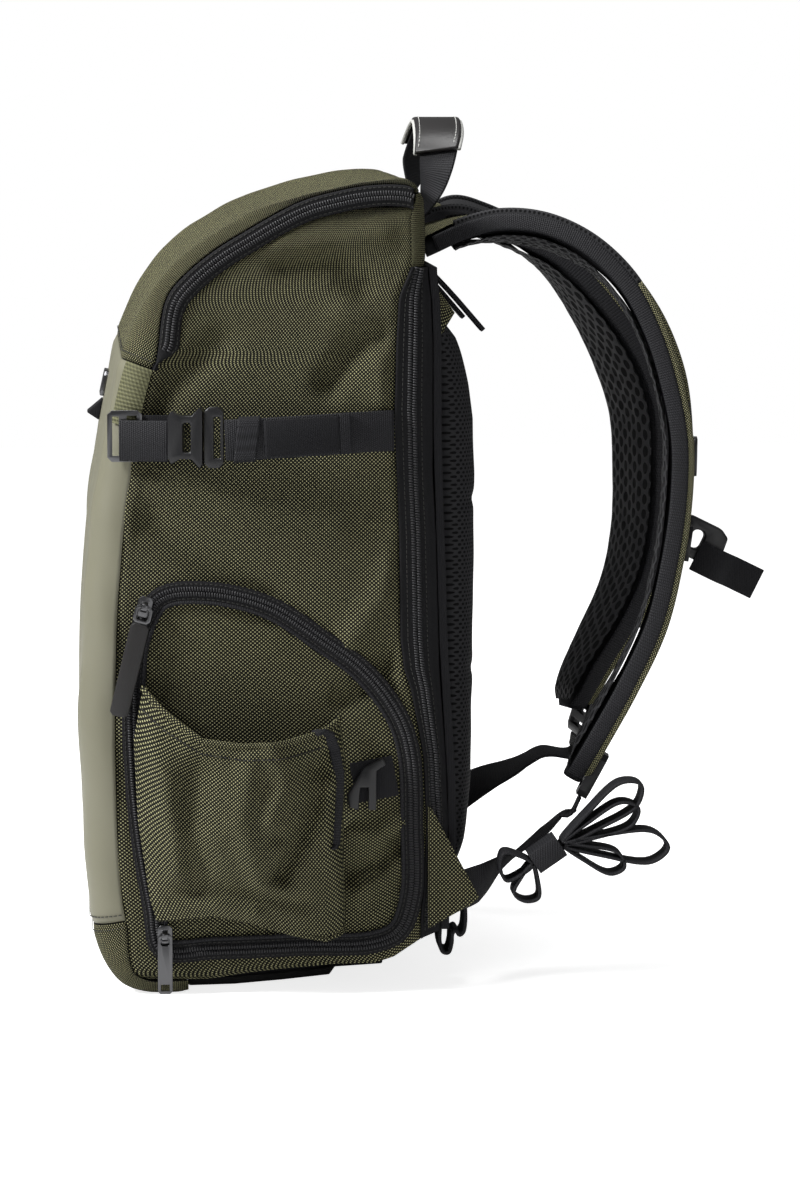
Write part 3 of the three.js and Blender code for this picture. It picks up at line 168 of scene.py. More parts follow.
STRAP = Table(("xo", "zo", "yo", "xi", "zi", "yi", "left_xo", "left_xi", "left_z"), (
    (-0.0075, 0.908, 0.62, -0.0075, 0.922, 0.27, 0.005, 0.005, 0.000),
    (0.130, 0.931, 0.68, 0.130, 0.932, 0.30, -0.024, -0.024, 0.004),
    (0.260, 0.943, 0.72, 0.265, 0.933, 0.34, -0.070, -0.070, 0.005),
    (0.412, 0.939, 0.76, 0.412, 0.926, 0.37, -0.117, -0.117, 0.000),
    (0.565, 0.915, 0.80, 0.560, 0.910, 0.39, -0.129, -0.123, 0.000),
    (0.700, 0.871, 0.83, 0.690, 0.883, 0.41, -0.123, -0.100, 0.000),
    (0.794, 0.812, 0.85, 0.826, 0.824, 0.42, -0.106, -0.064, 0.000),
    (0.855, 0.747, 0.86, 0.912, 0.753, 0.43, -0.076, -0.010, 0.000),
    (0.894, 0.677, 0.87, 0.940, 0.684, 0.435, -0.047, 0.030, 0.000),
    (0.891, 0.600, 0.87, 0.934, 0.602, 0.44, -0.029, 0.046, 0.000),
    (0.859, 0.524, 0.87, 0.914, 0.528, 0.45, 0.000, 0.055, 0.000),
    (0.804, 0.447, 0.87, 0.874, 0.464, 0.46, 0.012, 0.055, 0.000),
    (0.700, 0.371, 0.87, 0.800, 0.400, 0.48, 0.018, 0.045, 0.000),
    (0.601, 0.309, 0.86, 0.676, 0.331, 0.52, 0.047, 0.058, 0.004),
    (0.512, 0.252, 0.82, 0.554, 0.258, 0.57, 0.118, 0.118, 0.028),
))
LOWER = {
    -1: Table(("x", "z", "y", "tilt"), (
        (0.075, 0.122, 0.974, 0.0), (0.165, 0.131, 0.930, 0.2), (0.260, 0.145, 0.800, 0.7),
        (0.350, 0.163, 0.710, 1.2), (0.440, 0.188, 0.690, 1.5), (0.500, 0.206, 0.690, 1.57),
    )),
    1: Table(("x", "z", "y", "tilt"), (
        (0.075, 0.124, 0.974, 0.0), (0.170, 0.142, 0.960, 0.2), (0.290, 0.172, 0.880, 0.6),
        (0.440, 0.200, 0.790, 1.1), (0.540, 0.221, 0.750, 1.4),
    )),
}
HANDLE = Table(("y", "z", "x", "turn"), (
    (0.92, -0.94, 0.003, 0.00), (0.98, -0.60, 0.007, 0.05), (1.02, -0.15, 0.030, 0.55),
    (0.98, 0.25, 0.050, 1.10), (0.80, 0.65, 0.075, 1.35), (0.40, 0.92, 0.088, 1.45),
    (0.00, 1.00, 0.090, 1.45), (-0.45, 0.93, 0.088, 1.40), (-0.85, 0.62, 0.084, 1.20),
    (-1.02, 0.15, 0.070, 0.90), (-1.00, -0.40, 0.045, 0.45), (-0.92, -0.94, 0.003, 0.00),
))
REAR_LOOP = Table(("x", "z"), (
    (0.4405, 0.0715), (0.4405, 0.055), (0.450, 0.043), (0.465, 0.042), (0.474, 0.053),
    (0.477, 0.066), (0.486, 0.070), (0.497, 0.064), (0.507, 0.067), (0.513, 0.080),
    (0.513, 0.098),
))
BUNDLE_LOOPS = Table(("start", "reach", "rise", "full"), (
    (1, 0.34, 0.250, 0.050), (1, 0.33, 0.165, 0.045), (1, 0.44, 0.020, 0.055),
    (1, 0.28, -0.050, 0.040), (-1, -0.17, -0.045, 0.050), (-1, -0.08, -0.170, 0.045),
))
LIFTER_LINE = ((4.4, 0.880), (17, 0.853), (36, 0.809))
GORE = Table(("x", "z", "y"), (
    (0.400, 0.872, 0.87), (0.432, 0.866, 0.85), (0.484, 0.835, 0.83), (0.430, 0.798, 0.86),
))
POCKET = Table(("v", "left", "right"), (
    (0.00, -0.340, 0.155), (0.20, -0.385, 0.164), (0.50, -0.418, 0.158), (0.80, -0.428, 0.166),
    (1.00, -0.402, 0.148),
))
POCKET_RIM = Table(("u", "bottom", "mouth"), (
    (0.00, 0.095, 0.385), (0.12, 0.100, 0.358), (0.30, 0.106, 0.328), (0.50, 0.097, 0.322),
    (0.72, 0.080, 0.325), (0.90, 0.070, 0.334), (1.00, 0.076, 0.345),
))
DOOR_ZIP = Table(("x", "z"), (
    (-0.350, 0.058), (-0.376, 0.110), (-0.408, 0.195), (-0.424, 0.270), (-0.430, 0.367),
    (-0.412, 0.445), (-0.352, 0.492), (-0.230, 0.500), (-0.050, 0.482), (0.110, 0.437),
    (0.215, 0.402), (0.285, 0.366), (0.330, 0.330), (0.352, 0.290), (0.358, 0.210),
    (0.356, 0.120), (0.318, 0.076), (0.245, 0.062), (0.050, 0.060), (-0.200, 0.057),
))


@dataclass(frozen=True)
class Fold:
    """A ridge or a valley of cloth along a line on the side."""

    line: tuple[Point, ...]
    height: float
    width: float

    def lift(self, x: float, z: float) -> float:
        """Height of the fold at a place.

        Args:
            x: Place along the depth.
            z: Height above the floor.

        Returns:
            The height, below zero in a valley.
        """
        least = math.inf
        for (ax, az), (bx, bz) in zip(self.line, self.line[1:]):
            dx, dz = bx - ax, bz - az
            t = clamp(((x - ax) * dx + (z - az) * dz) / (dx * dx + dz * dz))
            least = min(least, math.hypot(x - ax - dx * t, z - az - dz * t))
        return self.height * bump(least, self.width) if least < self.width * 3 else 0.0


def folds(*rows: tuple[float, float, Sequence[Point]]) -> tuple[Fold, ...]:
    """Folds from rows of height, width and line, all in millimetres.

    Args:
        rows: Height, width and line of each fold, in millimetres.

    Returns:
        The folds.
    """
    return tuple(
        Fold(tuple((x * MM, z * MM) for x, z in line), height * MM, width * MM)
        for height, width, line in rows
    )


POCKET_FOLDS = folds(
    (6.0, 9.0, ((-86, 168), (-78, 143), (-73, 118), (-68, 100), (-67, 80))),
    (-4.5, 11.0, ((-55, 142), (-61, 105), (-57, 75))),
    (2.5, 8.0, ((-23, 148), (-29, 112), (-16, 75))),
    (3.5, 8.0, ((-9, 157), (-1, 136), (-9, 114))),
    (-6.5, 7.0, ((21, 150), (19, 128), (8, 104), (-5, 79))),
    (-3.0, 6.0, ((14, 144), (1, 121), (-5, 104))),
    (4.0, 6.5, ((25, 132), (25, 106), (30, 86), (35, 64))),
    (2.0, 5.0, ((-84, 66), (-72, 56), (-50, 60), (-20, 55))),
    (-2.0, 5.0, ((-40, 70), (-10, 64), (10, 60))),
)
SIDE_FOLDS = folds(
    (2.0, 9.0, ((0, 456), (27, 462), (58, 466))),
    (-3.5, 9.0, ((0, 446), (30, 446), (47, 434))),
    (-3.6, 9.0, ((27, 374), (41, 394), (57, 403))),
    (1.8, 9.0, ((36, 419), (56, 410), (60, 364))),
    (-3.6, 7.0, ((38, 73), (57, 79), (67, 91))),
    (2.6, 7.0, ((39, 100), (57, 97), (67, 105))),
    (2.0, 7.0, ((45, 63), (67, 81))),
    (-3.0, 8.0, ((36, 181), (53, 187), (67, 209))),
    (2.2, 9.0, ((40, 218), (57, 243), (67, 267))),
    (-3.0, 12.0, ((-82, 292), (-52, 268), (-15, 243))),
    (2.0, 11.0, ((-60, 320), (-20, 300), (30, 290))),
    (-2.5, 10.0, ((-85, 330), (-70, 370), (-40, 400))),
)


class Side(Enum):
    """The wearer's side that a piece is on; its value is the sign of y."""

    RIGHT = -1
    LEFT = 1

    @property
    def word(self) -> str:
        """The side's name as the CAD nodes have it."""
        return self.name.lower()


class Body(Enum):
    """The frame's bodies."""

    PACK = "pack"
    DOOR_PULL = "door_pull"
    LOWER_PULL = "lower_pull"


def catmull(points: Sequence[Vector], closed: bool = False, per: int = 14) -> list[Vector]:
    """Points of a centripetal Catmull-Rom curve.

    Args:
        points: The points that it passes through.
        closed: Whether it runs back to its start.
        per: Steps between two of the points.

    Returns:
        The curve's points, the last one included where it is open.
    """
    n = len(points)
    line: list[Vector] = []
    for i in range(n if closed else n - 1):
        if closed:
            p0, p1, p2, p3 = (points[(i + k - 1) % n] for k in range(4))
        else:
            p1, p2 = points[i], points[i + 1]
            p0 = points[i - 1] if i else p1 * 2 - p2
            p3 = points[i + 2] if i + 2 < n else p2 * 2 - p1
        t1 = max(1e-5, (p1 - p0).length ** 0.5)
        t2 = t1 + max(1e-5, (p2 - p1).length ** 0.5)
        t3 = t2 + max(1e-5, (p3 - p2).length ** 0.5)
        for k in range(per):
            t = mix(t1, t2, k / per)
            a1 = p0.lerp(p1, t / t1)
            a2 = p1.lerp(p2, (t - t1) / (t2 - t1))
            a3 = p2.lerp(p3, (t - t2) / (t3 - t2))
            b1 = a1.lerp(a2, t / t2)
            b2 = a2.lerp(a3, (t - t1) / (t3 - t1))
            line.append(b1.lerp(b2, (t - t1) / (t2 - t1)))
    if not closed:
        line.append(points[-1].copy())
    return line


def even(line: Sequence[Vector], count: int, closed: bool = False) -> list[Vector]:
    """The same line in evenly spaced steps.

    Args:
        line: The line's points.
        count: The number of steps.
        closed: Whether its end joins its start.

    Returns:
        count points where it is closed, and one more where it is open.
    """
    points = list(line) + ([line[0]] if closed else [])
    lengths = [0.0]
    for a, b in zip(points, points[1:]):
        lengths.append(lengths[-1] + (b - a).length)
    result: list[Vector] = []
    i = 0
    for k in range(count if closed else count + 1):
        target = lengths[-1] * k / count
        while i < len(points) - 2 and lengths[i + 1] < target:
            i += 1
        span = lengths[i + 1] - lengths[i] or 1.0
        result.append(points[i].lerp(points[i + 1], clamp((target - lengths[i]) / span)))
    return result


def line_length(line: Sequence[Vector]) -> float:
    """Length of a line of points."""
    return sum((b - a).length for a, b in zip(line, line[1:]))


@dataclass
class Path:
    """A line with the direction of its width and of its outer face at each point."""

    points: list[Vector]
    sides: list[Vector]
    outs: list[Vector]
    closed: bool = False

    @classmethod
    def along(
        cls,
        points: Sequence[Vector],
        side: Callable[[float], Vector],
        closed: bool = False,
        turn: int = 1,
    ) -> "Path":
        """A path over points, with its width's direction given at each share of it.

        Args:
            points: The line's points.
            side: The width's direction at a share from 0 to 1.
            closed: Whether the line's end joins its start.
            turn: 1 or -1, which of the two faces is the outer one.

        Returns:
            The path, with square frames.
        """
        n = len(points)
        sides: list[Vector] = []
        outs: list[Vector] = []
        for i in range(n):
            before = points[(i - 1) % n] if closed else points[max(0, i - 1)]
            after = points[(i + 1) % n] if closed else points[min(n - 1, i + 1)]
            tangent = (after - before).normalized()
            across = side(i / max(1, n - 1 + closed)).copy()
            across -= tangent * across.dot(tangent)
            across.normalize()
            sides.append(across)
            outs.append(tangent.cross(across).normalized() * turn)
        return cls(list(points), sides, outs, closed)

    def shifted(self, across: float, out: float) -> "Path":
        """The path moved over its own width and outwards.

        Args:
            across: Distance over its width.
            out: Distance outwards.

        Returns:
            The moved path.
        """
        points = [
            p + s * across + o * out for p, s, o in zip(self.points, self.sides, self.outs)
        ]
        return Path(points, self.sides, self.outs, self.closed)


def rounded_band(width: float, thick: float, per: int = 3) -> list[Point]:
    """Section of a flat band with round edges, in its width and its thickness.

    Args:
        width: The band's width.
        thick: Its thickness.
        per: Steps of each round edge.

    Returns:
        The section's points.
    """
    r = thick / 2
    section: list[Point] = []
    for sign, start in ((1, -90), (-1, 90)):
        for k in range(per + 1):
            angle = math.radians(start + 180 * k / per)
            section.append((sign * (width / 2 - r) + r * math.cos(angle), r * math.sin(angle)))
    return section


def ring(radius: float, count: int = 8, flat: float = 1.0) -> list[Point]:
    """Section of a round cord, flattened by a share.

    Args:
        radius: The cord's radius.
        count: Points around it.
        flat: Its height as a share of its width.

    Returns:
        The section's points.
    """
    return [
        (radius * math.cos(math.tau * k / count), radius * flat * math.sin(math.tau * k / count))
        for k in range(count)
    ]


class Maths:
    """A socket whose operators add Math nodes."""

    def __init__(self, tree: "Tree", socket: bpy.types.NodeSocket) -> None:
        """Wrap a socket of a tree."""
        self.tree = tree
        self.socket = socket

    def _with(self, operation: str, *values: "Maths | float") -> "Maths":
        """A Math node on this socket and other values.

        Args:
            operation: The node's operation.
            values: Its other inputs.

        Returns:
            The result.
        """
        inputs = dict(enumerate((self, *values)))
        node = self.tree.node("ShaderNodeMath", {"operation": operation}, inputs)
        return Maths(self.tree, node.outputs[0])

    def __add__(self, other: "Maths | float") -> "Maths":
        """Sum."""
        return self._with("ADD", other)

    __radd__ = __add__

    def __mul__(self, other: "Maths | float") -> "Maths":
        """Product."""
        return self._with("MULTIPLY", other)

    __rmul__ = __mul__

    def __sub__(self, other: "Maths | float") -> "Maths":
        """Difference."""
        return self._with("SUBTRACT", other)

    def __rsub__(self, other: float) -> "Maths":
        """Number minus socket."""
        return self * -1.0 + other

    def __truediv__(self, other: "Maths | float") -> "Maths":
        """Quotient."""
        return self._with("DIVIDE", other)

    def sine(self) -> "Maths":
        """Sine of radians."""
        return self._with("SINE")

    def fraction(self) -> "Maths":
        """The part after the point."""
        return self._with("FRACT")

    def absolute(self) -> "Maths":
        """Size without sign."""
        return self._with("ABSOLUTE")

    def least(self, other: "Maths | float") -> "Maths":
        """The smaller of two."""
        return self._with("MINIMUM", other)

    def root(self) -> "Maths":
        """Square root."""
        return self._with("SQRT")

    def step(self, low: float, high: float) -> "Maths":
        """0 below low, 1 above high and smooth between them.

        Args:
            low: Value that gives 0.
            high: Value that gives 1.

        Returns:
            The stepped value.
        """
        node = self.tree.node(
            "ShaderNodeMapRange",
            {"interpolation_type": "SMOOTHSTEP"},
            {"Value": self, "From Min": low, "From Max": high},
        )
        return Maths(self.tree, node.outputs[0])


class Tree:
    """A material's nodes."""

    def __init__(self, name: str) -> None:
        """Start a material with a plain shader.

        Args:
            name: The material's name.
        """
        self.material = bpy.data.materials.new(name)
        self.material.use_nodes = True
        self.nodes = self.material.node_tree.nodes
        self.links = self.material.node_tree.links
        self.shader = next(n for n in self.nodes if n.type == "BSDF_PRINCIPLED")

    def node(self, kind: str, settings: dict | None = None, inputs: dict | None = None) -> bpy.types.Node:
        """Add a node.

        Args:
            kind: Its type.
            settings: Its properties, set first.
            inputs: Its sockets' values or links, by name or number.

        Returns:
            The node.
        """
        node = self.nodes.new(kind)
        for key, value in (settings or {}).items():
            setattr(node, key, value)
        for key, value in (inputs or {}).items():
            self.plug(node.inputs[key], value)
        return node

    def plug(self, socket: bpy.types.NodeSocket, value: object) -> None:
        """Set a socket's value or link it.

        Args:
            socket: The node's input.
            value: A number, a colour, a socket or a value of Maths.
        """
        if isinstance(value, Maths):
            value = value.socket
        if isinstance(value, bpy.types.NodeSocket):
            self.links.new(value, socket)
        else:
            socket.default_value = value

    def set(self, **values: object) -> None:
        """Set or link sockets of the shader, with _ for a space in their names."""
        for key, value in values.items():
            self.plug(self.shader.inputs[key.replace("_", " ")], value)

    def flat(self) -> tuple[Maths, Maths]:
        """The piece's own UV map, in metres, as two values.

        Returns:
            The two coordinates.
        """
        coordinates = self.node("ShaderNodeTexCoord")
        split = self.node("ShaderNodeSeparateXYZ", {}, {0: coordinates.outputs["UV"]})
        return Maths(self, split.outputs[0]), Maths(self, split.outputs[1])

    def noise(self, scale: float, detail: float = 3.0) -> Maths:
        """Noise over the piece in its own space.

        Args:
            scale: Waves in a metre.
            detail: Layers of finer noise.

        Returns:
            The noise, about one half.
        """
        coordinates = self.node("ShaderNodeTexCoord")
        inputs = {"Vector": coordinates.outputs["Object"], "Scale": scale, "Detail": detail}
        node = self.node("ShaderNodeTexNoise", {}, inputs)
        return Maths(self, node.outputs[0])

    def blend(self, share: Maths, a: Sequence[float], b: Sequence[float]) -> bpy.types.NodeSocket:
        """A colour between two.

        Args:
            share: 0 gives the first colour, 1 the second.
            a: The first colour or its socket.
            b: The second colour or its socket.

        Returns:
            The colour's socket.
        """
        node = self.node("ShaderNodeMix", {"data_type": "RGBA"})
        self.plug(node.inputs[0], share)
        self.plug(node.inputs[6], (*a, 1.0) if isinstance(a, tuple) else a)
        self.plug(node.inputs[7], (*b, 1.0) if isinstance(b, tuple) else b)
        return node.outputs[2]

    def relief(self, height: Maths, depth: float, strength: float = 1.0) -> None:
        """Give the shader a bump.

        Args:
            height: The height, from 0 to 1.
            depth: Its depth in metres.
            strength: Share of the bump that is used.
        """
        node = self.node(
            "ShaderNodeBump", {}, {"Height": height, "Distance": depth, "Strength": strength}
        )
        self.set(Normal=node.outputs[0])


Colour = tuple[float, float, float]


@dataclass(frozen=True)
class Weave:
    """Woven olive nylon with a dot on each crossing, in the cloth's own olive with painted light: the
    bright dots are painted highlights on the crossings and the near-black ground between them is painted
    shade.
    """

    name: str
    # dark is the ground between the dots, darkened by painted shade; light is the dots, lightened by a
    # painted highlight.
    dark: Colour
    light: Colour
    pitch: float
    rough: float = 0.75
    dots: tuple[float, float] = (0.30, 0.66)
    specular: float = 0.15
    height: float = 0.3 * MM
    slot: str = "olive"

    def material(self) -> bpy.types.Material:
        """Build the material.

        Returns:
            The material.
        """
        tree = Tree(self.name)
        u, v = tree.flat()
        wave = math.tau / self.pitch
        dots = (u * wave).sine() * (v * wave).sine()
        patches = tree.noise(18.0).step(0.25, 0.75)
        # The dots mark where the crossings stand up and get a painted highlight; the gaps between them get
        # painted shade.
        mask = dots.step(*self.dots)
        low = tree.blend(patches, self.dark, tuple(c * 1.25 for c in self.dark))
        high = tree.blend(patches, tuple(c * 0.86 for c in self.light), self.light)
        tree.set(Base_Color=tree.blend(mask, low, high), Roughness=self.rough)
        tree.set(Specular_IOR_Level=self.specular)
        tree.relief(dots, self.height)
        return tree.material


@dataclass(frozen=True)
class Coated:
    """Smooth coated nylon."""

    name: str
    colour: Colour
    rough: float
    specular: float = 0.35
    slot: str = "coated"

    def material(self) -> bpy.types.Material:
        """Build the material.

        Returns:
            The material.
        """
        tree = Tree(self.name)
        patches = tree.noise(7.0).step(0.3, 0.7)
        shade = tree.blend(patches, tuple(c * 0.93 for c in self.colour), self.colour)
        fine = tree.noise(900.0, 2.0)
        tree.set(Base_Color=shade, Roughness=self.rough, Specular_IOR_Level=self.specular)
        tree.relief(fine, 0.05 * MM, 0.4)
        return tree.material


@dataclass(frozen=True)
class Ribbed:
    """Webbing or tape with ribs across it, the rib crests lighter by a painted highlight and the valleys
    darker by painted shade.
    """

    name: str
    colour: Colour
    pitch: float
    rough: float = 0.7
    depth: float = 0.25 * MM
    # lift is how much lighter the rib crests are painted: a painted highlight.
    lift: float = 1.5
    slot: str = "web"
    specular: float = 0.2

    def material(self) -> bpy.types.Material:
        """Build the material.

        Returns:
            The material.
        """
        tree = Tree(self.name)
        u, v = tree.flat()
        ribs = (u * (math.tau / self.pitch)).sine() * 0.5 + 0.5
        grain = (v * (math.tau / (self.pitch * 0.9)) + u * (math.pi / self.pitch)).sine() * 0.5 + 0.5
        # The colour follows the ribs' height: a painted highlight on the crests and painted shade in the
        # valleys.
        shade = ribs * 0.6 + grain * 0.4
        low = tuple(c * 0.6 for c in self.colour)
        high = tuple(c * self.lift for c in self.colour)
        tree.set(
            Base_Color=tree.blend(shade, low, high),
            Roughness=self.rough,
            Specular_IOR_Level=self.specular,
        )
        tree.relief(shade, self.depth)
        return tree.material


@dataclass(frozen=True)
class Netting:
    """Open mesh with staggered holes over dark foam."""

    name: str
    colour: Colour
    pitch: float
    hole: float
    slot: str = "mesh"
    specular: float = 0.2
    foam: Colour = (0.003, 0.003, 0.0035)
    stretch: float = 1.73

    def material(self) -> bpy.types.Material:
        """Build the material.

        Returns:
            The material.
        """
        tree = Tree(self.name)
        u, v = tree.flat()
        lattices = []
        for offset in (0.0, 0.5):
            a = ((u / self.pitch + offset).fraction() - 0.5).absolute()
            b = ((v / (self.pitch * self.stretch) + offset).fraction() - 0.5).absolute() * self.stretch
            lattices.append((a * a + b * b).root())
        distance = lattices[0].least(lattices[1])
        solid = distance.step(self.hole, self.hole + 0.09)
        tree.set(
            Base_Color=tree.blend(solid, self.foam, self.colour),
            Roughness=solid * -0.3 + 0.95,
            Specular_IOR_Level=self.specular,
        )
        tree.relief(solid, 1.2 * MM)
        return tree.material


@dataclass(frozen=True)
class Plain:
    """Moulded plastic, metal or leather."""

    name: str
    colour: Colour
    rough: float
    metal: float = 0.0
    grain: float = 0.0
    slot: str = "plastic"
    specular: float = 0.35
    uneven: float = 0.12

    def material(self) -> bpy.types.Material:
        """Build the material.

        Returns:
            The material.
        """
        tree = Tree(self.name)
        tree.set(Base_Color=(*self.colour, 1.0), Metallic=self.metal)
        tree.set(Specular_IOR_Level=self.specular)
        marks = tree.noise(60.0)
        tree.set(Roughness=marks * self.uneven + (self.rough - self.uneven / 2))
        if self.grain:
            tree.relief(tree.noise(1400.0, 4.0), self.grain)
        return tree.material


# OLIVE and STRIPE paint highlights on the weave's dots and shade between them; the Ribbed finishes below
# paint highlights on their rib crests and shade between the ribs.
OLIVE = Weave("olive_weave", (0.004, 0.0042, 0.0022), (0.36, 0.345, 0.185), 2.4 * MM)
STRIPE = Weave("olive_stripe", (0.02, 0.021, 0.012), (0.50, 0.47, 0.26), 1.7 * MM, 0.7)
SATIN = Coated("olive_coated", (0.158, 0.153, 0.108), 0.46)
BLACK = Ribbed("black_cloth", (0.009, 0.009, 0.0105), 1.1 * MM, 0.8, 0.15 * MM, 1.4, "black")
TAPE = Ribbed("zip_tape", (0.0065, 0.0065, 0.0075), 0.9 * MM, 0.78, 0.12 * MM, 1.4, "zip")
WEBBING = Ribbed("webbing", (0.0095, 0.0095, 0.011), 1.35 * MM, 0.6, 0.3 * MM, 1.8, "web")
BINDING = Ribbed("binding", (0.0095, 0.0095, 0.011), 1.5 * MM, 0.62, 0.35 * MM, 2.0, "black")
GUSSET = Ribbed("gusset_ribs", (0.085, 0.085, 0.045), 3.0 * MM, 0.7, 0.6 * MM, 1.7, "olive")
MESH = Netting("air_mesh", (0.022, 0.022, 0.024), 3.0 * MM, 0.24, "mesh")
WIDE_MESH = Netting("wide_mesh", (0.024, 0.024, 0.026), 8.5 * MM, 0.3, "mesh")
PLASTIC = Plain("black_plastic", (0.012, 0.012, 0.013), 0.32, 0.0, 0.03 * MM, "plastic")
COIL = Plain("coil_plastic", (0.018, 0.018, 0.020), 0.4, 0.0, 0.0, "zip")
METAL = Plain("dark_metal", (0.12, 0.12, 0.125), 0.3, 1.0, 0.0, "metal")
LEATHER = Plain("black_leather", (0.016, 0.015, 0.015), 0.42, 0.0, 0.1 * MM, "leather")
THREAD = Plain("thread", (0.022, 0.022, 0.02), 0.7, 0.0, 0.0, "black")
PALE_THREAD = Plain("pale_thread", (0.42, 0.42, 0.40), 0.7, 0.0, 0.0, "black")
RUBBER = Plain("base_rubber", (0.013, 0.013, 0.013), 0.7, 0.0, 0.1 * MM, "rubber")

Finish = Weave | Coated | Ribbed | Netting | Plain
_MADE: dict[str, bpy.types.Material] = {}


def dress(
    mesh: bpy.types.Mesh,
    finish: Finish,
    replaced: Iterable[str] = (),
    body: Body = Body.PACK,
    thickness: float = 0.0,
    flat_shade: bool = False,
) -> bpy.types.Object:
    """Make a mesh a piece of the model.

    Args:
        mesh: The mesh, in the row frame.
        finish: What it is made of.
        replaced: CAD nodes that it stands for.
        body: The body that it rides on.
        thickness: Thickness of cloth added below its face.
        flat_shade: Whether its faces are shaded flat.

    Returns:
        The piece.
    """
    if finish.name not in _MADE:
        _MADE[finish.name] = finish.material()
    mesh.materials.append(_MADE[finish.name])
    if not flat_shade:
        mesh.shade_smooth()
    piece = bpy.data.objects.new(mesh.name, mesh)
    bpy.context.scene.collection.objects.link(piece)
    if thickness:
        solid = piece.modifiers.new("wall", "SOLIDIFY")
        solid.thickness = thickness
        solid.offset = -1.0
    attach(piece, body.value)
    if replaced:
        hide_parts(*replaced)
    LOG.info("%s: %d faces, %s", piece.name, len(mesh.polygons), finish.name)
    return piece


def to_mesh(name: str, bm: bmesh.types.BMesh) -> bpy.types.Mesh:
    """Turn a bmesh into a named mesh and free it.

    Args:
        name: The mesh's name.
        bm: The bmesh, which is freed.

    Returns:
        The mesh.
    """
    mesh = bpy.data.meshes.new(name)
    bm.to_mesh(mesh)
    bm.free()
    return mesh


def sheet_mesh(
    name: str,
    place: Callable[[float, float], Vector],
    counts: tuple[int, int],
    size: tuple[float, float] | Callable[[float, float], Point],
    outward: Vector | None = None,
) -> bpy.types.Mesh:
    """A sheet over a grid.

    Args:
        name: The mesh's name.
        place: The point at two shares from 0 to 1.
        counts: Steps each way.
        size: The sheet's flat size in metres, or its UV at two shares.
        outward: The direction that most of its faces look to.

    Returns:
        The mesh, with a UV map in metres.
    """
    bm = bmesh.new()
    bmesh.ops.create_grid(bm, x_segments=counts[0], y_segments=counts[1], size=0.5)
    places = {vert: (vert.co.x + 0.5, vert.co.y + 0.5) for vert in bm.verts}
    layer = bm.loops.layers.uv.new("flat")
    for face in bm.faces:
        for loop in face.loops:
            u, v = places[loop.vert]
            loop[layer].uv = size(u, v) if callable(size) else (u * size[0], v * size[1])
    for vert, (u, v) in places.items():
        vert.co = place(u, v)
    bm.normal_update()
    if outward is not None and sum(face.normal.dot(outward) for face in bm.faces) < 0:
        bmesh.ops.reverse_faces(bm, faces=bm.faces)
    return to_mesh(name, bm)


def tube_mesh(
    name: str,
    place: Callable[[float, float], Vector],
    counts: tuple[int, int],
    size: Callable[[float, float], Point],
    closed: bool = False,
) -> bpy.types.Mesh:
    """A closed skin over a grid whose second direction goes all round.

    Args:
        name: The mesh's name.
        place: The point at two shares from 0 to 1.
        counts: Steps each way.
        size: The UV at two shares, in metres.
        closed: Whether the first direction goes round too; its ends are capped otherwise.

    Returns:
        The mesh.
    """
    bm = bmesh.new()
    bmesh.ops.create_grid(bm, x_segments=counts[0], y_segments=counts[1], size=0.5)
    places = {vert: (vert.co.x + 0.5, vert.co.y + 0.5) for vert in bm.verts}
    layer = bm.loops.layers.uv.new("flat")
    for face in bm.faces:
        for loop in face.loops:
            loop[layer].uv = size(*places[loop.vert])
    for vert, (u, v) in places.items():
        vert.co = place(u, v)
    bmesh.ops.remove_doubles(bm, verts=bm.verts, dist=1e-6)
    if not closed:
        rims = [edge for edge in bm.edges if edge.is_boundary]
        bmesh.ops.holes_fill(bm, edges=rims, sides=0)
    bmesh.ops.recalc_face_normals(bm, faces=bm.faces)
    return to_mesh(name, bm)


def sweep_mesh(name: str, path: Path, section: Sequence[Point]) -> bpy.types.Mesh:
    """A solid with one section all along a path.

    Args:
        name: The mesh's name.
        path: The path.
        section: The section's points, over the path's width and outwards.

    Returns:
        The closed mesh, with a UV map in metres.
    """
    n = len(path.points) - 1 + path.closed
    m = len(section)
    edges = [(Vector(section[(k + 1) % m]) - Vector(section[k])).length for k in range(m)]
    around = [sum(edges[:k]) for k in range(m + 1)]
    total = line_length(path.points + path.points[:1] * path.closed)

    def place(u: float, v: float) -> Vector:
        """The section's point at shares of the length and the girth.

        Args:
            u: Share of its first direction, from 0 to 1.
            v: Share of its second direction, from 0 to 1.

        Returns:
            The point.
        """
        i = round(u * n) % len(path.points)
        a, b = section[round(v * m) % m]
        return path.points[i] + path.sides[i] * a + path.outs[i] * b

    return tube_mesh(
        name, place, (n, m), lambda u, v: (u * total, around[round(v * m)]), path.closed
    )


Spot = tuple[Vector, Vector, Vector, Vector, Vector]


def blocks_mesh(name: str, spots: Iterable[Spot]) -> bpy.types.Mesh:
    """Small blocks on given axes.

    Args:
        name: The mesh's name.
        spots: For each block its middle, its three axes and its sizes along them.

    Returns:
        The mesh.
    """
    bm = bmesh.new()
    for middle, ax, ay, az, sizes in spots:
        turn = Matrix((ax * sizes.x, ay * sizes.y, az * sizes.z)).transposed().to_4x4()
        bmesh.ops.create_cube(bm, size=1.0, matrix=Matrix.Translation(middle) @ turn)
    bmesh.ops.recalc_face_normals(bm, faces=bm.faces)
    return to_mesh(name, bm)


def stations(path: Path, pitch: float) -> Iterable[tuple[Vector, Vector, Vector, Vector]]:
    """Places along a path at a pitch, each with its tangent, side and outward direction.

    Args:
        path: The path.
        pitch: Distance between two places.

    Yields:
        Middle, tangent, side and outward direction of each place.
    """
    points = path.points + path.points[:1] * path.closed
    total = line_length(points)
    travelled = 0.0
    due = pitch / 2
    for i, (a, b) in enumerate(zip(points, points[1:])):
        length = (b - a).length
        while due <= travelled + length and due < total:
            tangent = (b - a).normalized()
            side = path.sides[i]
            yield a.lerp(b, (due - travelled) / length), tangent, side, tangent.cross(side).normalized()
            due += pitch
        travelled += length


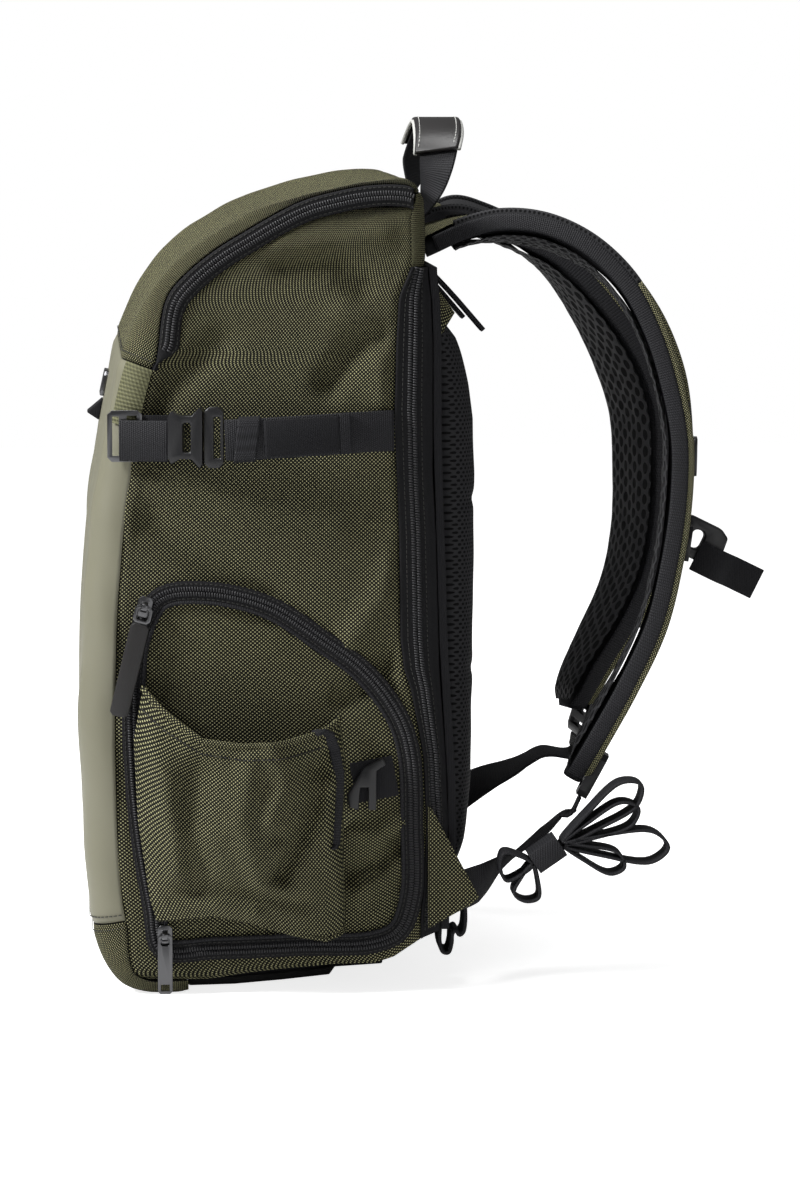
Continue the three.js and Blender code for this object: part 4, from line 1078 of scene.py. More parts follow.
def coil(name: str, path: Path, row: float = 1.55 * MM, pitch: float = 1.6 * MM) -> bpy.types.Object:
    """Two rows of zip teeth along a path.

    Args:
        name: The piece's name.
        path: The middle of the zip.
        row: Distance of each row from the middle.
        pitch: Distance between two teeth of a row.

    Returns:
        The teeth as one piece.
    """
    spots = []
    for k, (middle, tangent, side, out) in enumerate(stations(path, pitch / 2)):
        sign = 1 if k % 2 else -1
        size = Vector((pitch * 0.56, row * 1.65, 1.0 * MM))
        spots.append((middle + side * (row * sign), tangent, side, out, size))
    return dress(blocks_mesh(name, spots), COIL)


def stitches(name: str, path: Path, pitch: float = 3.0 * MM, finish: Finish = THREAD) -> bpy.types.Object:
    """A row of stitches along a path.

    Args:
        name: The piece's name.
        path: The line that is sewn.
        pitch: Distance between two stitches.
        finish: The thread.

    Returns:
        The stitches as one piece.
    """
    spots = [
        (middle, tangent, side, out, Vector((pitch * 0.68, 0.55 * MM, 0.4 * MM)))
        for middle, tangent, side, out in stations(path, pitch)
    ]
    return dress(blocks_mesh(name, spots), finish)


def soften(node: str, finish: Finish, edge: float = 0.5 * MM, body: Body = Body.PACK) -> bpy.types.Object:
    """A CAD node's own form with rounded edges.

    Args:
        node: The node.
        finish: What it is made of.
        edge: Width of the rounding.
        body: The body that it rides on.

    Returns:
        The piece, which replaces the node.
    """
    bm = bmesh.new()
    bm.from_mesh(bpy.data.objects[node].data)
    bmesh.ops.remove_doubles(bm, verts=bm.verts, dist=1e-5)
    bmesh.ops.dissolve_limit(bm, angle_limit=0.02, verts=bm.verts, edges=bm.edges)
    sharp = [e for e in bm.edges if len(e.link_faces) == 2 and e.calc_face_angle(0) > 0.5]
    bmesh.ops.bevel(
        bm, geom=sharp, offset=edge, offset_type="OFFSET", segments=2, profile=0.5,
        affect="EDGES", clamp_overlap=True, material=-1,
    )
    bmesh.ops.triangulate(bm, faces=[f for f in bm.faces if len(f.verts) > 4])
    layer = bm.loops.layers.uv.new("flat")
    bm.normal_update()
    for face in bm.faces:
        n = face.normal
        for loop in face.loops:
            x, y, z = loop.vert.co
            loop[layer].uv = (x, z) if abs(n.y) > 0.6 else (z, y) if abs(n.x) > abs(n.z) else (x, y)
    for edge_line in bm.edges:
        edge_line.smooth = len(edge_line.link_faces) == 2 and edge_line.calc_face_angle(0) < 0.7
    return dress(to_mesh(f"{node}_form", bm), finish, (node,), body)


EX = Vector((1, 0, 0))
EY = Vector((0, 1, 0))
EZ = Vector((0, 0, 1))
OUTLINE_STEPS = 240
SPARE_STEP = 0.001
CORNER_LAP = 1.6 * MM
YOKE_EASE = 0.030


def shares(start: float, end: float, count: int) -> list[float]:
    """Evenly spaced values, both ends included."""
    return [mix(start, end, k / count) for k in range(count + 1)]


class Shell:
    """The body's form, from which its panels, zips and fittings take their places."""

    def __init__(self) -> None:
        """Work out the outline and the line where the sides begin."""
        points = [Vector((x * DEPTH, 0.0, z * HEIGHT)) for x, z in PROFILE.rows]
        self.line = even(catmull(points, per=30), OUTLINE_STEPS)
        self.length = line_length(self.line)
        self.foot = self.share(FOOT_Z)
        self.boot = self.share(SEAM_BOOT)
        self.lid = self.share(SEAM_LID)
        self.top = self.share(CREST_Z, True)
        self.yoke = self.share(YOKE_Z, True)
        crest = max(range(len(self.line)), key=lambda i: self.line[i].z)
        self.crest = crest / OUTLINE_STEPS
        end_x = PROFILE.rows[-1][0] * DEPTH - TOP_R
        self.zip_end = next(
            i for i in range(crest, OUTLINE_STEPS) if self.line[i].x > end_x
        ) / OUTLINE_STEPS
        low = [
            self.inset(s, self.radius(s) + EDGE_GAP + GAP * 2) for s in shares(0, self.lid, 90)
        ]
        high = [
            self.drop(s, self.radius(s) + EDGE_GAP + self.zip_width(s) + GAP)
            for s in shares(self.lid, self.zip_end, 120)
        ]
        side_line = low + high
        self.side_low = side_line[0].z
        self.side_top = max(p.z for p in side_line) - EDGE_GAP
        self.fronts = [self._front(side_line, k * SPARE_STEP) for k in range(500)]

    def _front(self, line: list[Vector], z: float) -> float:
        """Where the side begins at a height, from the line.

        Args:
            line: Points from the foot to the crown.
            z: The height.

        Returns:
            The x of the line at that height.
        """
        for a, b in zip(line, line[1:]):
            if a.z <= z < b.z:
                return mix(a.x, b.x, (z - a.z) / (b.z - a.z))
        return line[0].x if z < line[0].z else max(line, key=lambda p: p.z).x

    def at(self, s: float) -> tuple[Vector, Vector]:
        """A point of the outline and its outward normal.

        Args:
            s: Share of the outline.

        Returns:
            The point and the normal.
        """
        place = clamp(s) * OUTLINE_STEPS
        i = min(OUTLINE_STEPS - 1, int(place))
        point = self.line[i].lerp(self.line[i + 1], place - i)
        tangent = (self.line[min(OUTLINE_STEPS, i + 2)] - self.line[max(0, i - 1)]).normalized()
        return point, Vector((-tangent.z, 0, tangent.x))

    def share(self, z: float, rear: bool = False) -> float:
        """The share of the outline where its front or its rear passes a height.

        Args:
            z: The height.
            rear: Whether the rear is meant.

        Returns:
            The share of the outline.
        """
        order = range(OUTLINE_STEPS, 0, -1) if rear else range(1, OUTLINE_STEPS + 1)
        for i in order:
            a, b = self.line[i - 1], self.line[i]
            if (a.z - z) * (b.z - z) <= 0 and abs(a.z - b.z) > 1e-9:
                return (i - 1 + (z - a.z) / (b.z - a.z)) / OUTLINE_STEPS
        return 1.0

    def radius(self, s: float) -> float:
        """Radius of the edge between front and side.

        Args:
            s: Share of the outline.

        Returns:
            The radius, small along the crown where the zip lies.
        """
        low = mix(FOOT_R, FRONT_R, smooth((s - self.foot / 2) / (self.boot - self.foot / 2)))
        side = mix(low, TOP_R, smooth((s - self.lid) / (self.top - self.lid) * 4))
        sharp = mix(side, CROWN_R, smooth((self.at(s)[0].x + CROWN_AT) / CROWN_AT / 1.6))
        return mix(sharp, TOP_R, smooth((s - self.zip_end) / (self.yoke - self.zip_end) * 2))

    def inset(self, s: float, depth: float) -> Vector:
        """A point below the outline."""
        point, normal = self.at(s)
        return point - normal * depth

    def drop(self, s: float, depth: float) -> Vector:
        """A point below the outline, straight down behind the highest point."""
        return self.at(s)[0] - self.at(min(s, self.crest))[1] * depth

    def zip_width(self, s: float) -> float:
        """Width of the top zip."""
        return max(GAP, TOP_ZIP_W * smooth((self.at(s)[0].z - SEAM_LID) / (TOP_ZIP_W * 1.6)))

    def wrap(self, s: float, t: float, lift: float = 0.0) -> Vector:
        """A point of the front and top, t across from -1 to 1.

        Args:
            s: Share of the outline.
            t: Place across, from -1 to 1.
            lift: Height above the cloth.

        Returns:
            The point.
        """
        point, normal = self.at(s)
        r = self.radius(s)
        a = abs(t)
        y, inset = (HALF - r) * min(1.0, a / FLAT_SHARE), -lift
        if a > FLAT_SHARE:
            angle = (a - FLAT_SHARE) / (1 - FLAT_SHARE) * math.pi / 2
            y = HALF - r + (r + lift) * math.sin(angle)
            inset = r - (r + lift) * math.cos(angle)
        return point - normal * inset + EY * math.copysign(y, t)

    def front(self, z: float) -> float:
        """Where the side begins at a height."""
        k = clamp(z / SPARE_STEP, 0, len(self.fronts) - 1.001)
        return mix(self.fronts[int(k)], self.fronts[int(k) + 1], k % 1)

    def rear(self, z: float) -> float:
        """Where the side ends at a height.

        Args:
            z: The height.

        Returns:
            The x of the rear edge.
        """
        seam = REAR_LINES.at("z", "seam", z / HEIGHT) * DEPTH
        corner = self.share(clamp(z, YOKE_Z + SPARE_STEP, CORNER_Z), True)
        edge = self.inset(corner, TOP_R - CORNER_LAP).x
        return mix(seam, edge, smooth((z - YOKE_Z + 0.022) / YOKE_EASE))

    def plane(self, z: float) -> float:
        """The back's plane at a height."""
        return REAR_LINES.at("z", "plane", z / HEIGHT) * DEPTH

    def hem(self, x: float) -> float:
        """Height of the side's lower hem."""
        return HEM.at("x", "z", x / DEPTH) * HEIGHT

    def hemmed(self, x: float, z: float, u: float) -> float:
        """A height moved up so that the lowest rows follow the hem."""
        rise = (self.hem(x) - self.side_low) * smooth(u * 3)
        return z + rise * max(0.0, 1 - (z - self.side_low) / (HEM_REACH - self.side_low))

    def full(self, u: float, z: float) -> float:
        """How far the side stands out."""
        return SIDE_FULL * math.sin(math.pi * u) * math.sin(math.pi * clamp(z / self.side_top))

    def skin(self, x: float, z: float) -> float:
        """Distance of a side's skin from the middle plane."""
        front = self.front(z)
        return HALF + self.full(clamp((x - front) / (self.rear(z) - front)), z)


SHELL = Shell()


def on_side(x: float, z: float, lift: float) -> Vector:
    """A point on the right side's skin."""
    return Vector((x, -(SHELL.skin(x, z) + lift), z))


def side_path(points: Sequence[Point], lift: float, closed: bool = False, count: int = 120) -> Path:
    """A flat-lying path on the right side.

    Args:
        points: x and z in metres.
        lift: Height above the skin.
        closed: Whether its end joins its start.
        count: Steps.

    Returns:
        The path, whose width lies in the side and whose outer face looks outwards.
    """
    line = even(catmull([Vector((x, 0, z)) for x, z in points], closed), count, closed)
    line = [on_side(p.x, p.z, lift) for p in line]
    n = len(line)
    sides = []
    for i in range(n):
        a = line[(i - 1) % n] if closed else line[max(0, i - 1)]
        b = line[(i + 1) % n] if closed else line[min(n - 1, i + 1)]
        sides.append((b - a).normalized().cross(EY).normalized())
    return Path(line, sides, [-EY] * n, closed)


@dataclass
class BodyWrap:
    """The cloth that runs from the foot over the front and the top to the yoke."""

    wall: float = 3 * MM
    tuck: float = 1.2 * MM
    tuck_width: float = 3.5 * MM
    across: int = 96
    calm: float = 0.02
    gusset_low: float = 0.352
    gusset_from: float = 0.83
    gusset_size: tuple[float, float] = (0.05, 0.02)

    def soft(self, point: Vector, t: float) -> float:
        """The waves of the cloth at a point, as a share of their depth.

        Args:
            point: The point.
            t: Its place across, from -1 to 1.

        Returns:
            Broad and fine waves, and slanting ones towards the sides.
        """
        broad = ripple(point.y * 14, point.z * 5, point.x * 5)
        fine = ripple(point.y * 40, point.z * 16)
        slant = ripple(point.z * 24 + point.x * 40, point.y * 9) * smooth((abs(t) - 0.3) * 3)
        return broad + 0.4 * fine + 0.8 * slant

    def panel(self, node: str, start: float, end: float, steps: int, finish: Finish, wave: float) -> None:
        """Build one panel of it.

        Args:
            node: The CAD node that it stands for.
            start: Its first share of the outline.
            end: Its last share.
            steps: Steps along the outline.
            finish: Its cloth.
            wave: Depth of its soft waves.
        """
        length = (end - start) * SHELL.length

        def place(u: float, v: float) -> Vector:
            """A point with its waves and its turned-in seams.

            Args:
                u: Share of its first direction, from 0 to 1.
                v: Share of its second direction, from 0 to 1.

            Returns:
                The point.
            """
            s, t = mix(start, end, u), v * 2 - 1
            ends = min(u, 1 - u) * length
            lift = -self.tuck * bump(ends, self.tuck_width)
            point = SHELL.wrap(s, t)
            lift += wave * (self.soft(point, t) - 0.5) * smooth(ends / self.calm)
            return SHELL.wrap(s, t, lift)

        mesh = sheet_mesh(
            node + "_cloth", place, (steps, self.across), lambda u, v: (v * HALF * 2, u * length)
        )
        orient(mesh, lambda point: point - Vector((0, point.y * 0.6, HEIGHT * 0.5)))
        dress(mesh, finish, (node,), thickness=self.wall)

    def seam(self, name: str, s: float, offset: float) -> None:
        """A row of stitches across the front beside a seam.

        Args:
            name: The piece's name.
            s: The seam's share of the outline.
            offset: Distance of the stitches from it.
        """
        points = [SHELL.wrap(s + offset / SHELL.length, t, 0.2 * MM) for t in shares(-0.99, 0.99, 120)]
        normals = SHELL.at(s)[1]
        path = Path(points, [normals.cross(EY)] * len(points), [normals] * len(points))
        stitches(name, path)

    def build(self) -> None:
        """Build the panels, their stitches and the gussets."""
        seam = 0.4 * MM / SHELL.length
        self.panel("boot", 0, SHELL.boot - seam, 40, OLIVE, 0.5 * MM)
        self.panel("front_panel", SHELL.boot + seam, SHELL.lid - seam, 150, SATIN, 2.4 * MM)
        self.panel("top_cover", SHELL.lid + seam, SHELL.top - seam, 120, OLIVE, 1.3 * MM)
        self.panel("yoke", SHELL.top + seam, SHELL.yoke, 24, OLIVE, 0.3 * MM)
        for name, s, offset in (
            ("boot_stitches", SHELL.boot, -0.004), ("front_stitches", SHELL.boot, 0.005),
            ("lid_stitches", SHELL.lid, 0.005),
        ):
            self.seam(name, s, offset)
        for side in Side:
            self.gusset(side)

    def gusset(self, side: Side) -> None:
        """The ribbed strip from the side strap up to the lid's seam on one side.

        Args:
            side: The side that it is on.
        """
        start = SHELL.share(self.gusset_low)
        length, width = self.gusset_size

        def place(u: float, v: float) -> Vector:
            """A point of the strip, just over the front panel.

            Args:
                u: Share of its first direction, from 0 to 1.
                v: Share of its second direction, from 0 to 1.

            Returns:
                The point.
            """
            puff = 0.9 * MM * math.sin(math.pi * v) * smooth((1 - u) * 12)
            across = side.value * mix(self.gusset_from, 1.0, v)
            return SHELL.wrap(mix(start, SHELL.lid, u), across, 0.5 * MM + puff)

        mesh = sheet_mesh(
            f"gusset_{side.word}", place, (60, 16), lambda u, v: (u * length, v * width), EY * side.value
        )
        dress(mesh, GUSSET)


def orient(mesh: bpy.types.Mesh, outward: Callable[[Vector], Vector]) -> None:
    """Turn a mesh's faces outwards.

    Args:
        mesh: The mesh.
        outward: The outward direction at a point.
    """
    bm = bmesh.new()
    bm.from_mesh(mesh)
    bm.normal_update()
    votes = sum(1 if f.normal.dot(outward(f.calc_center_median())) > 0 else -1 for f in bm.faces)
    if votes < 0:
        bmesh.ops.reverse_faces(bm, faces=bm.faces)
    bm.to_mesh(mesh)
    bm.free()


@dataclass
class SidePanel:
    """One side of the body."""

    side: Side
    wall: float = 3 * MM
    under: float = 1.6 * MM
    counts: tuple[int, int] = (120, 250)
    dent: float = 1.5 * MM
    crease: float = 0.35 * MM
    fold_share: float = 1.9
    seam_depth: float = 1.5 * MM
    seam_width: float = 3 * MM

    def relief(self, x: float, z: float, edge: float) -> float:
        """Dents and folds of the cloth over the smooth form.

        Args:
            x: Place along the depth.
            z: Height.
            edge: Distance to the panel's edge.

        Returns:
            The height, below zero in a dent and at the seams.
        """
        sign = self.side.value
        dents = 0.5 - 0.5 * ripple(x * 16, z * 11, sign)
        fine = 0.5 - 0.5 * ripple(x * 55, z * 48, sign * 2)
        raised = self.fold_share * sum(fold.lift(x, z) for fold in SIDE_FOLDS)
        depth = self.dent * dents + self.crease * fine
        tucked = self.seam_depth * bump(edge, self.seam_width)
        return (raised - depth) * smooth(edge / 0.010) - tucked

    def place(self, u: float, v: float) -> Vector:
        """A point of the panel.

        Args:
            u: Share of its first direction, from 0 to 1.
            v: Share of its second direction, from 0 to 1.

        Returns:
            The point.
        """
        z0 = mix(SHELL.side_low, SHELL.side_top, v)
        front, rear = SHELL.front(z0) - self.under, SHELL.rear(z0)
        x = mix(front, rear, u)
        z = SHELL.hemmed(x, z0, u)
        edge = min(u * (rear - front), (1 - u) * (rear - front), (1 - v) * 0.4, v * 0.4)
        y = HALF + SHELL.full(u, z0) + self.relief(x, z, edge)
        return Vector((x, self.side.value * y, z))

    def build(self) -> None:
        """Build the panel and its rear band."""
        mesh = sheet_mesh(
            f"side_{self.side.word}_cloth", self.place, self.counts,
            lambda u, v: ((u - 0.5) * 0.16, v * HEIGHT), EY * self.side.value,
        )
        dress(mesh, OLIVE, (f"side_panel_{self.side.word}",), thickness=self.wall)
        self.band()

    def band(self) -> None:
        """The black band behind the panel, with the rear compartment's zip."""
        sign = self.side.value
        low = SHELL.side_low

        def place(u: float, v: float) -> Vector:
            """A point of the band.

            Args:
                u: Share of its first direction, from 0 to 1.
                v: Share of its second direction, from 0 to 1.

            Returns:
                The point.
            """
            z0 = mix(low, YOKE_Z - EDGE_GAP, v)
            x = mix(SHELL.rear(z0) + EDGE_GAP, SHELL.plane(z0), u)
            pipe = 1.2 * MM * bump(u, 0.10) + 0.8 * MM * bump(u - 0.78, 0.12)
            y = HALF - REAR_TUCK * u * u + pipe - 0.6 * MM
            return Vector((x, sign * y, SHELL.hemmed(x, z0, 1)))

        mesh = sheet_mesh(
            f"band_{self.side.word}_cloth", place, (24, 160),
            lambda u, v: (v * HEIGHT, u * 0.025), EY * sign,
        )
        dress(mesh, TAPE, (f"rear_band_{self.side.word}",), thickness=2.5 * MM)
        points = [place(0.44, v) + EY * sign * 0.5 * MM for v in shares(0.02, 1, 150)]
        path = Path(points, [EX] * len(points), [EY * sign] * len(points))
        coil(f"band_{self.side.word}_teeth", path)
        for name, u in (("front", 0.18), ("rear", 0.70)):
            points = [place(u, v) + EY * sign * 0.3 * MM for v in shares(0.01, 1, 150)]
            stitches(f"band_{self.side.word}_{name}_stitches", Path(points, path.sides, path.outs))


@dataclass
class TopZip:
    """The zip over the top edge of one side."""

    side: Side
    lift: float = 0.4 * MM
    crown: float = 0.8 * MM
    lead: float = 0.02

    def point(self, s: float, v: float, lift: float) -> Vector:
        """A point on the tape, v from its upper to its lower edge."""
        place = SHELL.drop(s, SHELL.radius(s) + EDGE_GAP + v * SHELL.zip_width(s))
        return place + EY * (self.side.value * (HALF + lift))

    def build(self) -> None:
        """Build tape, teeth and stitches."""
        sign = self.side.value
        start, end = SHELL.lid, SHELL.zip_end
        length = (end - start) * SHELL.length
        mesh = sheet_mesh(
            f"top_zip_{self.side.word}_tape",
            lambda u, v: self.point(mix(start, end, u), v, self.lift + self.crown * math.sin(math.pi * v)),
            (160, 10), lambda u, v: (u * length, v * TOP_ZIP_W), EY * sign,
        )
        dress(mesh, TAPE, (f"top_zip_{self.side.word}",), thickness=2 * MM)
        coil(f"top_zip_{self.side.word}_teeth", self.path(0.5, 1.5 * MM))
        stitches(f"top_zip_{self.side.word}_upper", self.path(0.12, 0.9 * MM))
        stitches(f"top_zip_{self.side.word}_lower", self.path(0.88, 0.9 * MM))

    def path(self, v: float, lift: float) -> Path:
        """A line along the tape."""
        points = [self.point(s, v, lift) for s in shares(SHELL.lid + self.lead, SHELL.zip_end, 150)]
        return Path.along(points, self.across, turn=1)

    def across(self, share: float) -> Vector:
        """The direction of the tape's width at a share of its length."""
        s = mix(SHELL.lid + self.lead, SHELL.zip_end, share)
        return self.point(s, 1, 0) - self.point(s, 0, 0)


@dataclass
class Door:
    """The zipped door on the right side."""

    width: float = 12.6 * MM
    tape: float = 1.4 * MM
    seam: float = 0.36
    piping: float = 1.3 * MM

    def build(self) -> None:
        """Build tape, teeth, stitches and piping."""
        rows = [(x * DEPTH, z * HEIGHT) for x, z in DOOR_ZIP.rows]
        path = side_path(rows, GAP + self.tape / 2, True, 360)
        band = rounded_band(self.width, self.tape)
        dress(sweep_mesh("door_tape", path, band), TAPE, ("door_zip",))
        coil("door_teeth", path.shifted(0, self.tape / 2 + 0.4 * MM))
        for name, across in (("outer", 1), ("inner", -1)):
            stitches(
                f"door_{name}_stitches", path.shifted(across * self.width * self.seam, self.tape / 2)
            )
        piping = path.shifted(-self.width * 0.53, 0.3 * MM)
        dress(sweep_mesh("door_piping", piping, ring(self.piping)), BINDING)


@dataclass
class Pocket:
    """The bulged pocket on the door."""

    depth: float = 36 * MM
    wall: float = 2.4 * MM
    counts: tuple[int, int] = (150, 140)
    under: float = 0.12
    fold_share: float = 1.8
    wave: float = 2.0 * MM
    fine: float = 0.6 * MM
    fullness: float = 1.25
    tall: float = 0.135
    gusset: tuple[Point, ...] = (
        (0.865, 1.0), (0.90, 1.0), (0.935, 0.97), (0.955, 0.90), (0.962, 0.80), (0.962, 0.70),
        (0.955, 0.60), (0.950, 0.50),
    )

    def folds(self, x: float, z: float) -> float:
        """Height of the cloth's folds at a place."""
        waves = self.wave * ripple(x * 34, z * 26) + self.fine * ripple(x * 95, z * 80)
        return waves + self.fold_share * sum(fold.lift(x, z) for fold in POCKET_FOLDS)

    def point(self, u: float, v: float, lift: float = 0.0) -> Vector:
        """A point of the pocket's outer face.

        Args:
            u: Share from its left to its right edge.
            v: Share from its bottom to its mouth.
            lift: Height above the face.

        Returns:
            The point.
        """
        bottom = POCKET_RIM.at("u", "bottom", u) * HEIGHT
        mouth = POCKET_RIM.at("u", "mouth", u) * HEIGHT
        x = mix(POCKET.at("v", "left", v), POCKET.at("v", "right", v), u) * DEPTH
        under = clamp(v / self.under)
        z = bottom + 7 * MM * (1 - under) if v < self.under else mix(
            bottom, mouth, (v - self.under) / (1 - self.under)
        )
        edge = max(0.0, math.sin(math.pi * clamp(u))) ** 0.45
        fill = 0.55 * under ** 0.6 + 0.45 * smooth((v - 0.1) / 0.45)
        out = max(0.0, edge * fill * self.depth + self.folds(x, z) * edge * smooth(v * 5))
        seat = GAP + 1.6 * MM + EDGE_GAP * 2 + self.wall / 2
        return on_side(x, z, seat + out + lift)

    def build(self) -> None:
        """Build cloth, hem and stitches."""
        wide = (POCKET.rows[0][2] - POCKET.rows[0][1]) * DEPTH * self.fullness
        mesh = sheet_mesh(
            "pocket_cloth", self.point, self.counts, lambda u, v: (u * wide, v * self.tall), -EY
        )
        dress(mesh, OLIVE, ("pocket",), thickness=self.wall)
        rim = [self.point(u, 1.0, 0.0) for u in shares(0, 1, 160)]
        path = Path.along(rim, lambda share: EZ)
        dress(sweep_mesh("pocket_rim", path.shifted(-1 * MM, 0), rounded_band(4 * MM, 3.0 * MM)), OLIVE)
        line = even([self.point(u, v, 1.2 * MM) for u, v in self.gusset], 70)
        zipper = Path.along(line, lambda share: EX * (1 - share) + EZ * share * 0.2)
        dress(sweep_mesh("pocket_gusset", zipper, rounded_band(7 * MM, 2.6 * MM)), BINDING)
        low = [self.point(u, 0.93, 0.4 * MM) for u in shares(0.01, 0.99, 160)]
        stitches("pocket_stitches", Path.along(low, lambda share: EZ))


@dataclass
class Harness:
    """One shoulder strap with its webbing."""

    side: Side
    binding: tuple[float, float] = (10.4 * MM, 3.4 * MM)
    binding_lift: float = 0.8 * MM
    trim: tuple[float, float] = (5.4 * MM, 3.0 * MM)
    trim_from: float = 0.06
    trim_change: float = 0.37
    last: float = 0.985
    puff: float = 2.6 * MM
    lumps: float = 0.8 * MM
    rail: tuple[float, float] = (14 / 26, 22 / 26)
    rail_width: float = 16 * MM
    lower_rail: tuple[float, float] = (0.80, 0.965)
    lock_at: float = 0.97
    steps: int = 170
    around: int = 28

    def __post_init__(self) -> None:
        """Work out its edge lines."""
        self.sign = self.side.value
        self.outer = self._edge("xo", "zo", "yo", "left_xo")
        self.inner = self._edge("xi", "zi", "yi", "left_xi")

    def _edge(self, x: str, z: str, y: str, left: str) -> list[Vector]:
        """One edge of the pad as a smooth line.

        Args:
            x: The column of the edge's x.
            z: The column of its height.
            y: The column of its place across the pack.
            left: The column that is added to x on the left strap.

        Returns:
            The edge's points.
        """
        points = []
        for row in STRAP.rows:
            value = dict(zip(STRAP.columns, row))
            hang = self.sign > 0
            points.append(Vector((
                BACK + (value[x] + value[left] * hang) * REACH,
                self.sign * HALF * value[y],
                (value[z] + value["left_z"] * hang) * HEIGHT,
            )))
        return catmull(points, per=20)

    def _at(self, line: list[Vector], t: float) -> Vector:
        """A point of an edge at a share.

        Args:
            line: The edge.
            t: The share.

        Returns:
            The point.
        """
        place = clamp(t) * (len(line) - 1)
        i = min(len(line) - 2, int(place))
        return line[i].lerp(line[i + 1], place - i)

    def frame(self, t: float) -> tuple[Vector, Vector, Vector, Vector]:
        """Middle, tangent, half width and outward direction at a share.

        Args:
            t: Share along the strap.

        Returns:
            Middle, tangent, half width and outward direction.
        """
        middle, after, before = (
            (self._at(self.outer, k) + self._at(self.inner, k)) / 2 for k in (t, t + 0.01, t - 0.01)
        )
        tangent = (after - before).normalized()
        across = (self._at(self.inner, t) - self._at(self.outer, t)) / 2
        up = tangent.cross(across).normalized() * -self.sign
        return middle, tangent, across, up

    def point(self, t: float, a: float, h: float) -> Vector:
        """A point at a share along, a share across and a height."""
        middle, _, across, up = self.frame(t)
        return middle + across * a + up * h

    def end(self, t: float) -> float:
        """How much of the width is left near the strap's end."""
        return math.sqrt(max(0.0, 1 - 0.6 * max(0.0, (t - 0.93) / 0.07) ** 2))

    def band(
        self, name: str, start: float, end: float, a: float, width: float, lift: float,
        finish: Finish, replaced: Iterable[str] = (),
    ) -> None:
        """Webbing on the outer face.

        Args:
            name: The piece's name.
            start: First share along.
            end: Last share along.
            a: Share across.
            width: Its width.
            lift: Height of its middle over the face.
            finish: Its cloth.
            replaced: CAD nodes that it stands for.
        """
        ts = shares(start, end, max(8, round((end - start) * 160)))
        frames = [self.frame(t) for t in ts]
        points = [self.point(t, a, STRAP_T / 2 + lift) for t in ts]
        path = Path(points, [f[2].normalized() for f in frames], [f[3] for f in frames])
        dress(sweep_mesh(name, path, rounded_band(width, 1.6 * MM)), finish, replaced)

    def face(
        self, name: str, start: float, end: float, reach: float, h: float, finish: Finish,
        lift: Callable[[float, float], float] | None = None,
    ) -> None:
        """A layer of cloth on one face of the pad.

        Args:
            name: The piece's name.
            start: First share along.
            end: Last share along.
            reach: Share of the half width that it covers.
            h: Height of its edges over the pad's middle, below zero on the inner face.
            finish: Its cloth.
            lift: More height at shares along and across.
        """
        length = line_length(self.outer) * (end - start)

        def place(u: float, v: float) -> Vector:
            """A point of the layer.

            Args:
                u: Share of its first direction, from 0 to 1.
                v: Share of its second direction, from 0 to 1.

            Returns:
                The point.
            """
            t, a = mix(start, end, u), mix(-reach, reach, v) * self.end(mix(start, end, u))
            crown = 0.8 * MM * math.cos(a * math.pi / 2) + (lift(t, a) if lift else 0.0)
            return self.point(t, a, h + math.copysign(crown, h))

        mesh = sheet_mesh(
            name, place, (max(20, round((end - start) * 260)), 26),
            lambda u, v: (u * length, v * reach * 0.07),
        )
        ups = [(self.point(t, 0, 0), self.frame(t)[3]) for t in shares(start, end, 40)]
        orient(mesh, lambda p: min(ups, key=lambda pair: (pair[0] - p).length)[1] * math.copysign(1, h))
        dress(mesh, finish)

    def build(self) -> None:
        """Build pad, bindings, faces and webbing."""
        word = self.side.word
        section = []
        for k in range(self.around):
            angle = math.tau * k / self.around
            c, s = math.cos(angle), math.sin(angle)
            section.append((math.copysign(abs(c) ** 0.45, c), math.copysign(abs(s) ** 0.7, s)))

        def place(u: float, v: float) -> Vector:
            """A point of the pad's skin.

            Args:
                u: Share of its first direction, from 0 to 1.
                v: Share of its second direction, from 0 to 1.

            Returns:
                The point.
            """
            a, h = section[round(v * self.around) % self.around]
            soft = 0.5 * MM * ripple(u * 22, a * 2, self.sign)
            return self.point(u, a * 0.97 * self.end(u), h * (STRAP_T / 2 - 0.4 * MM + soft))

        length = line_length(self.outer)
        mesh = tube_mesh(
            f"pad_{word}", place, (self.steps, self.around), lambda u, v: (u * length, v * 0.16)
        )
        dress(mesh, BLACK, (f"shoulder_pad_{word}",))
        for name, a in (("outer", -0.98), ("inner", 0.98)):
            path = self.edge_path(0.02, 0.995, 200, a, self.binding_lift)
            dress(sweep_mesh(f"binding_{word}_{name}", path, rounded_band(*self.binding, 5)), BINDING)
            for part, start, end, finish in (
                ("mesh", self.trim_from, self.trim_change, MESH),
                ("olive", self.trim_change, self.last, STRIPE),
            ):
                path = self.edge_path(start, end, 120, a * 0.97, STRAP_T / 2 + 0.3 * MM)
                band = rounded_band(*self.trim, 5)
                dress(sweep_mesh(f"{part}_edge_{word}_{name}", path, band), finish)
        self.faces()
        rail = f"strap_rail_{word}"
        self.band(f"rail_{word}", *self.rail, 0.45, self.rail_width, GAP + 1.5 * MM, WEBBING, (rail,))
        self.band(f"lower_rail_{word}", *self.lower_rail, 0.0, WEB * 0.8, 1.8 * MM, WEBBING)
        self.lower_web()

    def edge_path(self, start: float, end: float, steps: int, a: float, height: float) -> Path:
        """A line beside one of the pad's edges.

        Args:
            start: First share along.
            end: Last share along.
            steps: Its steps.
            a: Share across, below zero at the outer edge.
            height: Height over the pad's middle.

        Returns:
            The path, whose width stands up from the pad.
        """
        ts = shares(start, end, steps)
        frames = [self.frame(t) for t in ts]
        points = [self.point(t, a * self.end(t), height) for t in ts]
        outs = [f[2].normalized() * math.copysign(1, a) for f in frames]
        return Path(points, [f[3] for f in frames], outs)

